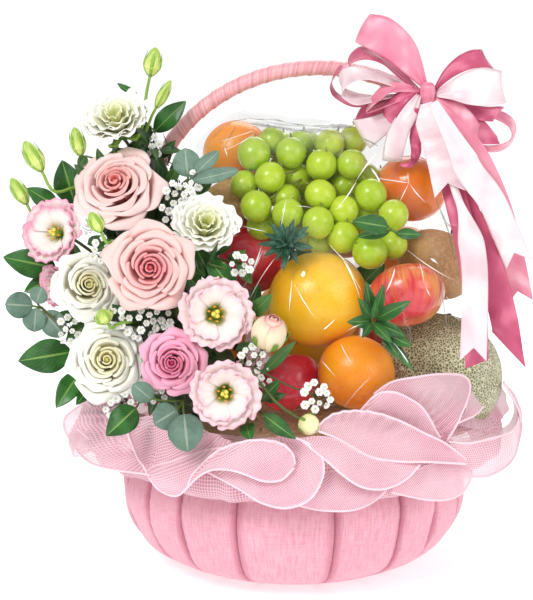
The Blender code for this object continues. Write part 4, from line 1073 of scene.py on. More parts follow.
def folded(points_a, points_b, depth_a, depth_b, back=0.014, tip=0.004):
    """Borders that run out to a fold and come back behind: the way back is the way out, moved back in depth."""
    borders = []
    for points, depths in ((points_a, depth_a), (points_b, depth_b)):
        out = spots(points, depths)
        way = unit(out[-1] - out[-2])
        turn_point = out[-1] + way * tip + np.array([0.0, 0.5 * back, 0.0])
        behind = out[::-1] + np.array([0.0, 1.0, 0.0]) * back * np.linspace(1.0, 0.35, len(out))[:, None]
        borders.append(np.concatenate([out, turn_point[None], behind]))
    return borders


LOOPS = (
    # colour, kind, border a, border b, depths a, depths b
    ("pink", "fold", ((427.8, 84.6), (417.8, 48.8), (404.6, 30.2), (388.7, 18.3), (374.1, 15.5)),
     ((421.8, 87.2), (404.6, 74.0), (388.7, 62.0), (372.7, 51.4), (359.2, 44.1)),
     (-0.034, -0.030, -0.030, -0.026, -0.020), (-0.034, -0.030, -0.028, -0.026, -0.022)),
    ("rose", "round", ((420.5, 91.2), (399.3, 77.9), (383.4, 64.7), (367.4, 59.6), (354.8, 61.8), (348.9, 67.3),
                       (359.5, 74.0), (380.7, 79.3), (404.6, 87.2), (420.5, 93.9)),
     ((420.5, 89.9), (399.3, 68.7), (382.0, 54.1), (364.8, 46.1), (352.9, 51.4), (347.8, 62.0),
      (355.5, 67.3), (380.7, 71.3), (404.6, 83.2), (420.5, 92.5)),
     (-0.034, -0.034, -0.034, -0.032, -0.028, -0.026, -0.028, -0.030, -0.030, -0.030),
     (-0.020, -0.012, -0.008, -0.006, -0.004, -0.002, -0.004, -0.008, -0.012, -0.020)),
    ("white", "round",
     ((420.5, 91.2), (396.0, 87.0), (380.7, 82.5), (368.8, 79.9), (355.5, 80.9), (344.9, 88.6),
                        (341.6, 95.2), (346.2, 100.5), (355.5, 105.1),
                        (370.1, 103.1), (390.0, 98.5), (420.5, 94.5)),
     ((420.5, 89.9), (400.0, 85.0), (388.7, 77.9), (371.4, 70.0), (355.5, 66.0), (343.6, 68.7),
      (338.9, 75.3), (341.6, 85.9), (355.5, 92.5), (372.0, 95.0), (392.0, 94.5), (420.5, 93.2)),
     (-0.036, -0.044, -0.048, -0.050, -0.052, -0.052, -0.050, -0.050, -0.048, -0.044, -0.036),
     (-0.024, -0.028, -0.030, -0.030, -0.028, -0.026, -0.024, -0.024, -0.024, -0.024, -0.024)),
    ("rose", "round", ((420.5, 93.2), (378.1, 79.3), (344.9, 71.3), (333.0, 79.3), (330.3, 89.9), (336.9, 99.2),
                       (355.5, 107.1), (385.0, 103.0), (420.5, 96.5)),
     ((420.5, 92.5), (378.1, 74.0), (344.9, 64.7), (334.3, 74.0), (332.3, 84.6), (340.9, 95.2),
      (364.8, 100.5), (388.0, 99.0), (420.5, 95.2)),
     (-0.022, -0.014, -0.010, -0.008, -0.008, -0.008, -0.010, -0.014, -0.022),
     (-0.012, 0.004, 0.010, 0.012, 0.014, 0.014, 0.012, 0.004, -0.008)),
    ("pink", "round",
     ((420.5, 91.9), (399.3, 91.9), (388.7, 93.6), (379.4, 100.5), (371.4, 107.1), (366.6, 113.1),
                       (378.1, 109.8), (399.3, 101.8), (420.5, 95.2)),
     ((420.5, 89.9), (404.6, 83.2), (391.3, 82.6), (380.7, 87.2), (371.4, 97.8), (366.1, 111.1),
      (372.7, 107.1), (391.3, 99.2), (420.5, 93.9)),
     (-0.038, -0.048, -0.054, -0.056, -0.056, -0.054, -0.052, -0.048, -0.038),
     (-0.030, -0.036, -0.038, -0.038, -0.038, -0.038, -0.036, -0.034, -0.030)),
    ("rose", "fold", ((420.5, 95.2), (391.3, 99.8), (375.4, 103.1), (362.8, 107.8), (356.8, 118.3)),
     ((417.8, 97.8), (396.0, 108.8), (383.4, 113.8), (370.1, 117.4), (358.2, 120.6)),
     (-0.026, -0.030, -0.030, -0.028, -0.024), (-0.028, -0.034, -0.036, -0.034, -0.026)),
    ("rose", "fold", ((416.8, 91.5), (404.6, 91.5), (391.3, 97.8), (384.0, 108.4), (383.4, 121.7)),
     ((420.5, 96.5), (412.5, 97.8), (404.6, 108.4), (395.3, 119.1), (388.7, 131.0)),
     (-0.036, -0.042, -0.044, -0.042, -0.036), (-0.038, -0.046, -0.048, -0.046, -0.040)),
    ("white", "fold", ((417.8, 97.8), (399.3, 107.1), (383.4, 112.4), (370.1, 116.9), (357.2, 119.6)),
     ((420.5, 100.5), (407.2, 115.1), (396.6, 124.4), (386.0, 135.0), (373.0, 146.2)),
     (-0.028, -0.036, -0.038, -0.038, -0.034), (-0.030, -0.040, -0.044, -0.044, -0.040)),
    ("white", "fold", ((416.5, 93.9), (407.2, 103.1), (396.6, 117.7), (387.3, 135.0), (383.4, 156.9)),
     ((421.2, 96.5), (417.8, 115.1), (409.9, 131.0), (405.2, 145.6), (402.2, 158.3)),
     (-0.042, -0.052, -0.056, -0.056, -0.052), (-0.042, -0.054, -0.058, -0.058, -0.054)),
    ("rose", "fold", ((433.8, 89.9), (444.4, 71.3), (457.6, 58.1), (470.9, 51.5), (479.5, 50.8)),
     ((435.1, 91.9), (449.7, 79.3), (464.3, 71.3), (477.5, 68.0), (490.8, 68.9)),
     (-0.030, -0.024, -0.020, -0.016, -0.010), (-0.032, -0.028, -0.026, -0.022, -0.014)),
    ("white", "fold", ((435.1, 93.2), (451.0, 81.9), (468.2, 72.3), (484.2, 68.9), (498.7, 71.3)),
     ((435.1, 96.8), (452.3, 99.8), (468.2, 104.5), (486.8, 105.8), (503.4, 103.6)),
     (-0.038, -0.046, -0.048, -0.046, -0.038), (-0.040, -0.054, -0.060, -0.060, -0.052)),
    ("rose", "fold", ((437.7, 97.8), (457.6, 100.5), (470.9, 105.1), (486.8, 108.1), (501.1, 108.1)),
     ((437.7, 101.5), (457.6, 109.1), (468.2, 115.4), (478.8, 120.1), (490.5, 121.6)),
     (-0.024, -0.026, -0.026, -0.024, -0.018), (-0.028, -0.034, -0.036, -0.034, -0.026)),
    ("pink", "fold", ((435.1, 96.5), (452.3, 100.5), (464.3, 107.1), (473.5, 115.1), (478.4, 122.4)),
     ((433.1, 99.2), (441.7, 119.1), (452.3, 133.6), (464.3, 141.6), (475.5, 143.7)),
     (-0.040, -0.046, -0.048, -0.046, -0.040), (-0.042, -0.054, -0.060, -0.060, -0.052)),
    ("pink", "round",
     ((437.7, 99.2), (470.9, 111.1), (495.7, 119.4), (508.7, 127.0), (511.8, 136.3), (505.7, 142.6),
                       (493.4, 145.3), (480.2, 143.6), (457.6, 128.3), (434.4, 101.8)),
     ((437.7, 97.8), (470.9, 105.8), (500.4, 110.8), (513.7, 120.1), (515.6, 132.3), (509.7, 145.1),
      (496.4, 152.0), (481.5, 148.2), (457.6, 124.4), (435.1, 100.5)),
     (-0.020, -0.018, -0.014, -0.010, -0.008, -0.010, -0.014, -0.018, -0.020, -0.022),
     (-0.014, -0.006, 0.000, 0.004, 0.006, 0.004, 0.000, -0.004, -0.008, -0.014)),
    ("rose", "fold", ((436.4, 99.2), (455.0, 109.8), (470.9, 117.7), (484.2, 121.7), (495.4, 134.6)),
     ((435.1, 101.8), (452.3, 124.4), (468.2, 137.6), (481.5, 143.6), (497.0, 144.1)),
     (-0.024, -0.026, -0.026, -0.024, -0.018), (-0.028, -0.034, -0.034, -0.030, -0.022)),
)
ribbons = {"white": Pile(), "pink": Pile(), "rose": Pile()}
for number, (tone, kind, border_a, border_b, depth_a, depth_b) in enumerate(LOOPS):
    if kind == "fold":
        near, far = folded(border_a, border_b, depth_a, depth_b)
        sheet = strip(near, far, 72, 0.05, 0.0009, (0.16, 0.16))
    else:
        near, far = spots(border_a, depth_a), spots(border_b, depth_b)
        sheet = strip(near, far, 72, 0.04, 0.0008, (0.14, 0.14))
    ribbons[tone].add(sheet, shade=number / len(LOOPS))
print("bow:", len(LOOPS), "loops")

# %% [markdown]
# ## The ribbon tails
# The tails hang from the knot over the film and past the fruit. Each is a strip of even
# width about a line of front view spots, and its end is cut: the last rows are drawn back
# in the middle for a notch, or at one side for a slant. A tail's depth is kept in front of
# the film and of the tails below it.

# %% Tails
film_tree = search_tree(nodes["film"])


TAIL_STEPS = 64
TAIL_BLUR = 9
LAYER_GAP = 0.006


def clear_depth(x, z, least, clear):
    """The depth just in front of the film at (x, z), or least if that is nearer the front."""
    hit = film_tree.ray_cast(Vector((x, -0.6, z)), Vector((0, 1, 0)))
    return min(hit[0][1] - clear, least) if hit[0] is not None else least


def tail(line, width, least, layer, notch, slant, twist, narrow):
    """A strip about a line of spots: (u, v) each, width in metres, over the film by its layer."""
    u, v, _ = curve_through([(u, v, 0.0) for u, v in line], TAIL_STEPS).T
    middle = at(u, v, least)
    clear = 0.003 + LAYER_GAP * layer
    kernel = np.exp(-(np.arange(-TAIL_BLUR, TAIL_BLUR + 1) / 5.0) ** 2)
    for _ in range(2):
        flow = unit(np.gradient(middle, axis=0))
        level = unit(np.stack([-flow[:, 2], np.zeros(TAIL_STEPS), flow[:, 0]], axis=-1))
        level = np.where(level[:, :1] < 0, -level, level)
        edges = [middle + side * width * level for side in (-0.5, 0.0, 0.5)]
        depth = np.array([[clear_depth(x, z, least, clear) for x, _, z in edge] for edge in edges]).min(axis=0)
        depth = np.convolve(np.pad(depth, TAIL_BLUR, mode="edge"), kernel / kernel.sum(), mode="valid")
        middle = at(u, v, depth - 0.0015)
    part = np.linspace(0, 1, TAIL_STEPS)
    if narrow > 0:
        taper = 0.3 + 0.7 * ease(narrow - 0.12, narrow + 0.10, part)
    else:
        taper = 1.0 + narrow * part**3
    half = 0.5 * width * np.minimum(1.0, 0.35 + 2.4 * part) * taper
    share = np.linspace(-1, 1, RIBBON_COLUMNS)
    normal = np.cross(level, flow)
    normal = np.where(normal[:, 1:2] > 0, -normal, normal)
    lean = twist * np.sin(2 * np.pi * 1.1 * part)
    side = level * np.cos(lean)[:, None] + normal * np.sin(lean)[:, None]
    sheet = middle[:, None] + side[:, None] * (half[:, None] * share[None])[..., None]
    cut = notch * (1 - np.abs(share)) + slant * share
    sheet = sheet - flow[:, None] * (cut[None] * part[:, None] ** 9)[..., None]
    wave = 0.0016 * np.sin(2 * np.pi * (1.7 * part + layer)) * ease(0.1, 0.5, part)
    wave = wave[:, None] * (0.6 + 0.4 * share)
    return sheet + normal[:, None] * (wave + 0.0012 * (1 - share**2))[..., None]


TAILS = (
    # colour, line, width, least depth, layer, notch, slant, twist, how far down it stays narrow
    ("rose", ((432, 106), (447, 160), (466, 212), (490, 268), (503, 315), (509, 350)), 0.026,
     -0.030, 0, 0.0, -0.020, 0.1, 0.0),
    ("pink", ((434, 102), (470, 148), (497, 205), (511, 258), (520, 303)), 0.026,
     -0.060, 1, 0.012, 0.0, 0.15, 0.0),
    ("rose", ((430, 104), (448, 170), (466, 240), (475, 300), (477, 364)),
     0.022, -0.052, 1, 0.0, 0.004, 0.1, 0.0),
    ("white", ((433, 102), (459, 150), (470, 172), (491, 200), (508, 238), (519, 265)), 0.0265,
     -0.088, 2, 0.013, 0.0, 0.15, 0.0),
    ("white", ((432, 106), (450, 175), (466, 222), (474, 262), (475, 305), (473, 361)), 0.025,
     -0.070, 2.4, 0.013, 0.0, 0.1, 0.42),
    ("white", ((426, 103), (432, 125), (441, 155), (450, 194)), 0.030, -0.072, 3, 0.012, 0.0, 0.2, 0.0),
    ("rose", ((432, 108), (440, 160), (449, 190), (459, 229)), 0.014, -0.048, 1, 0.0, -0.006, 0.1, 0.0),
    ("rose", ((417, 108), (415, 135), (416, 152), (410, 164), (400, 165)),
     0.011, -0.052, 1, 0.0, 0.0, 0.3, -0.85),
)
for number, (tone, *row) in enumerate(TAILS):
    ribbons[tone].add(tail(*row), shade=0.1 * number)

SATIN = {
    # deep, dark, light, bright, slot; deep is painted shade in the satin's dark bands and bright is a painted
    # sheen highlight in its light bands
    "white": (colour(220, 180, 192), colour(228, 202, 208), colour(238, 218, 222),
              colour(250, 242, 242), "ribbon_white"),
    "pink": (colour(206, 96, 130), colour(222, 122, 150), colour(236, 150, 172),
             colour(250, 196, 206), "ribbon_pink"),
    "rose": (colour(160, 48, 86), colour(188, 70, 108), colour(208, 92, 128),
             colour(232, 130, 158), "ribbon_rose"),
}
satin_looks = {}
for tone, (deep, dark, light, bright, slot) in SATIN.items():
    look = Finish("satin_" + tone, Roughness=0.34, Specular_IOR_Level=0.5, Sheen_Weight=0.15,
                  Sheen_Roughness=0.3, Anisotropic=0.5)
    u, v = look.map()
    thread = look.noise(1.0, 2.0, 0.6, look.joined(u * 90.0, v * 3.0))
    weft = look.noise(1.0, 2.0, 0.6, look.joined(u * 3.0, v * 60.0))
    border = (u - 0.5).size().between(0.455, 0.480)
    tint = look.mix(thread.between(0.2, 0.8) * 0.35 + 0.35 + weft * 0.2, dark, light)
    # painted sheen and shade: broad bands along the ribbon turn towards the bright colour or towards the deep one
    sheen_band = look.noise(1.0, 1.0, 0.5, look.joined(u * 1.2, v * 7.0, look.shade() * 23.0))
    tint = look.mix(sheen_band.between(0.50, 0.72) * 0.75, tint, bright)
    tint = look.mix((1.0 - sheen_band.between(0.28, 0.48)) * 0.55, tint, deep)
    tint = look.mix(border * 0.25, tint, dark)
    look.put("Base Color", tint).relief(thread * 0.2 + weft * 0.5 + border * 0.6, 0.00020, 0.5)
    piece = ribbons[tone].mesh("bow_" + tone + "_ribbon", weld=False)
    finish(piece, look.material, slot, "bow_" + tone)
    thicken(piece, 0.00045)
    satin_looks[tone] = look.material

polar = np.linspace(0, np.pi, 26)[:, None]
turn = 2 * np.pi * np.arange(40)[None] / 40
knot_middle = at(427.5, 95.0, -0.040)
pleats = 1 + 0.07 * np.cos(9 * turn) * np.sin(polar)
body = np.stack([0.0072 * np.sin(polar) * np.cos(turn) * pleats * (1 + 0.25 * np.cos(polar) ** 2),
                 0.0075 * np.sin(polar) * np.sin(turn) * pleats,
                 0.0130 * np.sign(np.cos(polar)) * np.abs(np.cos(polar)) ** 0.7 * np.ones_like(turn)], axis=-1)
knot = Pile().solid(knot_middle + body).mesh("bow_knot_wrap")
finish(knot, satin_looks["pink"], "ribbon_pink", "bow_knot")

# %% [markdown]
# ## Roses
# A petal is spread round the flower's axis. A line of (radius, height) knots gives its
# shape from foot to rim, its sides are cut shorter than its middle so the rim is an arch,
# and one side tucks under its neighbour. A rose is seven rings of such petals, upright at
# the heart and open at the rim.

# %% Petals
def petal(turn, width, knots, arch=0.14, tuck=0.06, ruffle=0.0, waves=3.0,
          phase=0.0, rows=17, columns=15, peak=0.0):
    """One petal about the z axis, in radii of the flower. A peak draws the middle of its rim out to a point."""
    profile = curve_through(knots, 40)
    part = np.linspace(0, 1, rows)[:, None]
    side = np.linspace(-1, 1, columns)[None]
    reached = part * (1 - arch * np.abs(side) ** 1.7)
    reached = reached + 0.25 * ruffle * np.sin(waves * 3.1 * side + 2 * phase) * part**4
    reached = np.clip(reached, 0, 1)
    place = np.linspace(0, 1, 40)
    radius = np.interp(reached, place, profile[:, 0]) * (1 + tuck * side)
    height = np.interp(reached, place, profile[:, 1])
    height = height + ruffle * np.sin(waves * np.pi * side + phase) * part**3
    radius = radius * (1 + 0.6 * ruffle * np.cos(waves * np.pi * side + 1.7 * phase) * part**3)
    radius = radius * (1 + peak * np.exp(-((side / 0.26) ** 2)) * part**4)
    spread = width * (0.50 + 0.50 * np.sin(np.pi * (0.05 + 0.62 * part)))
    angle = turn + side * spread
    return np.stack([radius * np.cos(angle), radius * np.sin(angle), height], axis=-1)


ROSE_RINGS = ((2, 1.70), (3, 1.30), (3, 1.25), (3, 1.15), (4, 1.00), (4, 0.96), (5, 0.82))
OPEN_RINGS = ((0.74, 5, 0.78), (0.97, 6, 0.70))
FULL_RINGS = ((0.22, 3, 1.25), (0.40, 3, 1.20), (0.60, 4, 1.05), (0.79, 5, 0.86), (0.95, 5, 0.84))


def rose_petals(seed):
    """The petals of a rose with how open each is, 0 at the heart and 1 at the rim."""
    draw = np.random.default_rng(seed)
    petals = []
    turn = draw.uniform(0, 6.28)
    rings = len(ROSE_RINGS)
    for ring, (number, width) in enumerate(ROSE_RINGS):
        open_part = ((ring + 0.6) / (rings - 0.4)) ** 1.18
        for i in range(number):
            turn += 2 * np.pi / number + draw.uniform(-0.16, 0.16)
            part = open_part + 0.06 * (i / number - 0.5)
            rim = 0.06 + 0.77 * part + draw.uniform(-0.012, 0.012)
            top = 0.08 + 0.36 * (1 - part**1.5) + draw.uniform(-0.03, 0.03)
            if ring >= rings - 2:
                top += draw.uniform(-0.10, 0.03)
            roll = 0.04 + 0.20 * part**1.6
            knots = (
                (0.05 + 0.10 * part, -0.58), (0.34 * rim + 0.05, -0.44),
                (0.72 * rim, -0.22 + 0.14 * (1 - part)),
                (0.88 * rim, top - 0.20), (rim, top - 0.05), (rim + 0.45 * roll, top + 0.02),
                (rim + 0.90 * roll, top - 0.03), (rim + 1.12 * roll, top - 0.50 * roll),
            )
            waves, phase = 1.2 + 1.5 * draw.uniform(), draw.uniform(0, 6.28)
            points = petal(turn, width, knots, 0.15 + 0.12 * part, 0.11, 0.014 + 0.022 * part, waves, phase,
                           rows=19, columns=17, peak=0.13 * part**1.5)
            petals.append((points, part))
        turn += 1.1
    return petals


def lisianthus_petals(seed, throat=True):
    """The frilled petals of a lisianthus: two rings round a wide throat, or five that fill it."""
    draw = np.random.default_rng(seed)
    petals = []
    turn = draw.uniform(0, 6.28)
    frill, least_waves = (0.048, 3.4) if throat else (0.058, 2.6)
    for rim, number, width in OPEN_RINGS if throat else FULL_RINGS:
        for i in range(number):
            turn += 2 * np.pi / number + draw.uniform(-0.08, 0.08)
            reach = rim * draw.uniform(0.92, 1.04)
            top = (0.30 - 0.17 * rim if throat else 0.40 - 0.26 * rim) + draw.uniform(-0.03, 0.03)
            knots = (
                (0.07, -0.52), (0.20 * reach + 0.06, -0.34), (0.48 * reach, -0.13), (0.78 * reach, top - 0.13),
                (0.95 * reach, top - 0.01), (reach + 0.04, top + 0.01),
            )
            waves, phase = least_waves + draw.uniform(), draw.uniform(0, 6.28)
            points = petal(turn, width, knots, 0.12, 0.08, frill, waves, phase, rows=19, columns=29)
            climb = np.linspace(0, 1, 19)[:, None] ** 6
            points[..., 2] += 0.022 * np.sin(np.linspace(0, 38, 29) + number) * climb
            petals.append((points, rim))
        turn += np.pi / number
    return petals


def set_flower(points, middle, radius, facing):
    """Puts a flower's own points in the frame, its z axis along its facing."""
    facing = unit(facing)
    side, up = across(facing)
    x, y, z = points[..., :1], points[..., 1:2], points[..., 2:]
    return np.asarray(middle) + radius * (x * side + y * up + z * facing)


# %% [markdown]
# ## The flower heads
# Each head has a place on the front view, a depth, a radius and a facing. The kinds are
# roses, lisianthus with an open throat, frilled white lisianthus and rosebuds.

# %% Flower heads
HEADS = (
    # solid, kind, u, v, y, radius, facing, look
    ("rose_blush", "rose", 118, 189, -0.062, 0.0410, (-0.18, -0.72, 0.64), "blush"),
    ("lisianthus_white_top", "full", 117, 120, -0.030, 0.0365, (-0.20, -0.55, 0.78), "white"),
    ("rose_salmon", "rose", 150, 268, -0.142, 0.0375, (0.05, -0.97, 0.20), "salmon"),
    ("lisianthus_white_right", "full", 206, 226, -0.100, 0.0325, (0.10, -0.70, 0.70), "white"),
    ("lisianthus_left", "open", 53, 232, -0.062, 0.0320, (-0.38, -0.88, 0.30), "pink_edge"),
    ("rose_white_left", "rose", 87, 287, -0.104, 0.0300, (0.25, -0.88, 0.40), "cream"),
    ("lisianthus_low_left", "full", 55, 285, -0.050, 0.0220, (-0.70, -0.65, 0.00), "pink_edge"),
    ("rose_white_low", "rose", 107, 361, -0.132, 0.0340, (0.05, -0.93, 0.34), "cream"),
    ("rose_hot_pink", "rose", 173, 362, -0.160, 0.0280, (-0.05, -0.97, 0.15), "hot"),
    ("lisianthus_right", "open", 216, 314, -0.152, 0.0345, (0.15, -0.95, 0.25), "edged"),
    ("lisianthus_low", "open", 225, 394, -0.186, 0.0325, (0.05, -0.97, 0.10), "edged"),
    ("rosebud_cream", "bud", 270, 331, -0.163, 0.0165, (0.22, -0.50, 0.84), "bud_tip"),
    ("bud_cream", "bud", 310, 425, -0.206, 0.0095, (0.60, -0.60, -0.20), "bud_plain"),
)
PETAL_SLOTS = {
    "rose_blush": "petal_blush", "rose_salmon": "petal_salmon", "rose_hot_pink": "petal_hot",
    "rose_white_left": "petal_white", "rose_white_low": "petal_white", "lisianthus_white_top": "petal_white",
    "lisianthus_white_right": "petal_white", "rosebud_cream": "petal_cream", "bud_cream": "petal_cream",
}
PETAL_COLOURS = {
    # at the heart's folds, in the middle, at the rim, and how much the foot is green; in blush, salmon, hot, cream
    # and white the heart's colour is partly the flower's own and partly painted shade
    "blush": (colour(236, 136, 130), colour(248, 192, 184), colour(253, 218, 214), 0.0),
    "salmon": (colour(226, 92, 108), colour(244, 158, 154), colour(252, 206, 200), 0.0),
    "hot": (colour(208, 58, 110), colour(236, 118, 160), colour(250, 176, 200), 0.0),
    "cream": (colour(228, 216, 140), colour(246, 240, 212), colour(253, 251, 240), 0.4),
    "white": (colour(214, 218, 130), colour(244, 242, 208), colour(253, 252, 244), 0.7),
    "edged": (colour(226, 222, 130), colour(252, 232, 228), colour(243, 182, 198), 1.0),
    "pink_edge": (colour(236, 226, 150), colour(252, 236, 230), colour(236, 138, 176), 0.6),
    "bud_tip": (colour(222, 196, 120), colour(248, 224, 190), colour(242, 150, 160), 0.3),
    "bud_plain": (colour(206, 206, 110), colour(246, 240, 180), colour(252, 248, 206), 0.5),
}


def petal_look(name):
    """A petal's colours by how open it is and by how far up it a spot lies, with fine veins."""
    deep, middle, rim, green = PETAL_COLOURS[name]
    look = Finish("petal_" + name, Roughness=0.55, Specular_IOR_Level=0.3,
                  Sheen_Weight=0.25, Sheen_Roughness=0.4)
    look.put("Subsurface Weight", 0.18).put("Subsurface Scale", 0.003)
    look.put("Subsurface Radius", (0.9, 0.45, 0.35))
    u, v = look.map()
    opened = look.shade()
    vein = look.noise(1.0, 2.0, 0.6, look.joined(u * 26.0, v * 2.5, opened * 19.0))
    blotch = look.noise(90.0, 2.0, 0.6)
    up = (v + (blotch - 0.5) * 0.20 + (vein - 0.5) * 0.16).most(0.0)
    if name in ("edged", "pink_edge", "bud_tip", "bud_plain"):
        tint = look.mix(up.between(0.62, 1.0) * (0.75 if name == "edged" else 0.9), middle, rim)
        tint = look.mix((1.0 - up.between(0.16, 0.44)) * (1.0 - opened * 0.35), tint, deep)
    else:
        tint = look.mix(up.between(0.20, 0.92), middle, rim)
        # partly the flower's own deeper colour and partly painted shade: the inner petals and the lower part of
        # every petal turn towards the deep colour, where the heart lies in shade
        inner = (1.0 - opened.between(0.10, 0.80)) * (1.0 - up.between(0.45, 1.0) * 0.45)
        tint = look.mix(inner * 0.95, tint, deep)
        tint = look.mix((1.0 - up.between(0.25, 0.62)) * 0.40, tint, deep)
    if green:
        low, high = (0.20, 0.40) if name == "edged" else (0.08, 0.24)
        tint = look.mix((1.0 - up.between(low, high)) * green, tint, colour(138, 158, 44))
    look.put("Base Color", tint).relief(vein * 0.7 + blotch * 0.3, 0.00035, 0.5)
    return look.material


petal_looks = {name: petal_look(name) for name in PETAL_COLOURS}
bed_tree = search_tree(nodes["flower_bed"])
greens = Pile()
hearts = Pile()


def sphere(middle, radius, rows=6, columns=8, stretch=(1.0, 1.0, 1.0)):
    """A closed ball as a grid with two poles."""
    polar = np.linspace(0, np.pi, rows)[:, None]
    turn = 2 * np.pi * np.arange(columns)[None] / columns
    wide = np.sin(polar)
    ball = np.stack([wide * np.cos(turn), wide * np.sin(turn), np.cos(polar) * np.ones_like(turn)], axis=-1)
    return np.asarray(middle) + radius * ball * np.asarray(stretch)


def nearest_green(place):
    """The place on the solid greenery that is nearest to another place."""
    return np.array(bed_tree.find_nearest(Vector(place))[0])


def stem(pile, knots, count, radii, shade, sides=6):
    """A stem through knots, added to a pile."""
    pile.solid(stem_grid(curve_through(knots, count), radii, sides), shade=shade)


def stem_to_bed(foot, axis, radius):
    """A stem from a flower's foot back along its axis and into the greenery."""
    root = nearest_green(foot)
    way = unit(root - foot)
    length = np.linalg.norm(root - foot)
    bend = foot - axis * 0.35 * length + way * 0.15 * length
    stem(greens, [foot, bend, root, root + way * 0.006], 9, radius, 0.3)


for number, (node, kind, u, v, y, radius, facing, look) in enumerate(HEADS):
    middle = at(u, v, y)
    axis = unit(facing)
    seat = (middle, radius, facing)
    pile = Pile()
    if kind == "bud":
        draw = np.random.default_rng(40 + number)
        turn = 0.0
        for ring, (reach, tall) in enumerate(((0.45, 1.08), (0.72, 1.02), (1.0, 0.82))):
            for i in range(3):
                turn += 2 * np.pi / 3
                knots = ((0.20, -1.05), (0.75 * reach + 0.1, -0.75),
                         (0.98 * reach, -0.1), (0.84 * reach, 0.45 * tall),
                         (0.42 * reach + 0.05 * ring, 0.90 * tall), (0.22 * reach + 0.13 * ring, tall))
                points = petal(turn, 1.30, knots, 0.10, 0.05, 0.02, 2.0, draw.uniform(0, 6.28))
                pile.add(set_flower(points, *seat), shade=0.3 + 0.3 * ring)
            turn += 1.0
        tip = sphere((0, 0, 0.15), 0.30, 14, 14, (1.0, 1.0, 2.85))
        pile.solid(set_flower(tip, *seat), shade=0.3)
        foot_height, sepal_reach, sepal_top = -1.08, 1.04, -0.10
    else:
        if kind == "rose":
            petals = rose_petals(20 + number)
            core = sphere((0, 0, 0.10), 0.085, 14, 14, (1.0, 1.0, 3.6))
            pile.solid(set_flower(core, *seat), shade=0.05)
        else:
            petals = lisianthus_petals(20 + number, throat=kind == "open")
        for points, opened in petals:
            pile.add(set_flower(points, *seat), shade=opened)
        foot_height, sepal_reach, sepal_top = -0.60, 0.62, -0.34
    piece = pile.mesh(node + "_petals", weld=False)
    finish(piece, petal_looks[look], PETAL_SLOTS.get(node, "petal_edged"), node)
    thicken(piece, 0.00030)
    cup = sphere((0, 0, foot_height + 0.06), 0.16, stretch=(1, 1, 0.9))
    greens.solid(set_flower(cup, *seat), shade=0.4)
    for i in range(5):
        knots = ((0.10, foot_height), (0.55 * sepal_reach, foot_height + 0.10),
                 (0.98 * sepal_reach, 0.5 * (foot_height + sepal_top)),
                 (1.05 * sepal_reach, sepal_top), (1.02 * sepal_reach + 0.10, sepal_top + 0.16))
        line = petal(i * 2 * np.pi / 5 + number, 0.30, knots, 0.75, 0.0, 0.0, rows=9, columns=5)
        greens.add(set_flower(line, *seat), shade=0.7)
    stem_to_bed(middle + axis * radius * foot_height, axis, 0.0015)
    if kind == "open":
        hearts.solid(set_flower(sphere((0, 0, -0.22), 0.12, stretch=(1, 1, 2.0)), *seat), shade=0.35)
        for i in range(3):
            lobe_turn = i * 2 * np.pi / 3
            spot = (0.07 * math.cos(lobe_turn), 0.07 * math.sin(lobe_turn), 0.03)
            hearts.solid(set_flower(sphere(spot, 0.065, stretch=(1, 1, 0.7)), *seat), shade=0.75)
        for i in range(6):
            lobe_turn = i * 2 * np.pi / 6 + 0.4
            way = np.array([math.cos(lobe_turn), math.sin(lobe_turn), 0.0])
            thread = curve_through([way * 0.06 + (0, 0, -0.40),
                                    way * 0.17 + (0, 0, -0.20), way * 0.20 + (0, 0, -0.02)], 6)
            hearts.solid(stem_grid(set_flower(thread, *seat), 0.0004, 5), shade=0.4)
            hearts.solid(set_flower(sphere(thread[-1], 0.038, stretch=(1.3, 0.8, 1.0)), *seat), shade=1.0)
    elif kind == "full":
        hearts.solid(set_flower(sphere((0, 0, -0.12), 0.13, stretch=(1, 1, 1.6)), *seat), shade=0.35)

heart_look = Finish("flower_heart", Roughness=0.6)
heart_look.put("Base Color", heart_look.ramp(
    heart_look.shade(), (0.3, colour(120, 150, 40)), (0.5, colour(176, 190, 60)),
                                             (0.8, colour(236, 214, 90)), (1.0, colour(214, 140, 30))))
finish(hearts.mesh("flower_hearts"), heart_look.material, "bud_green")
print(len(HEADS), "flower heads")

# %% [markdown]
# ## Buds
# A closed bud is a pointed body whose petals are rolled round each other, which shows as
# slanting grooves, held by narrow sepals at its foot on a thin bent stem.

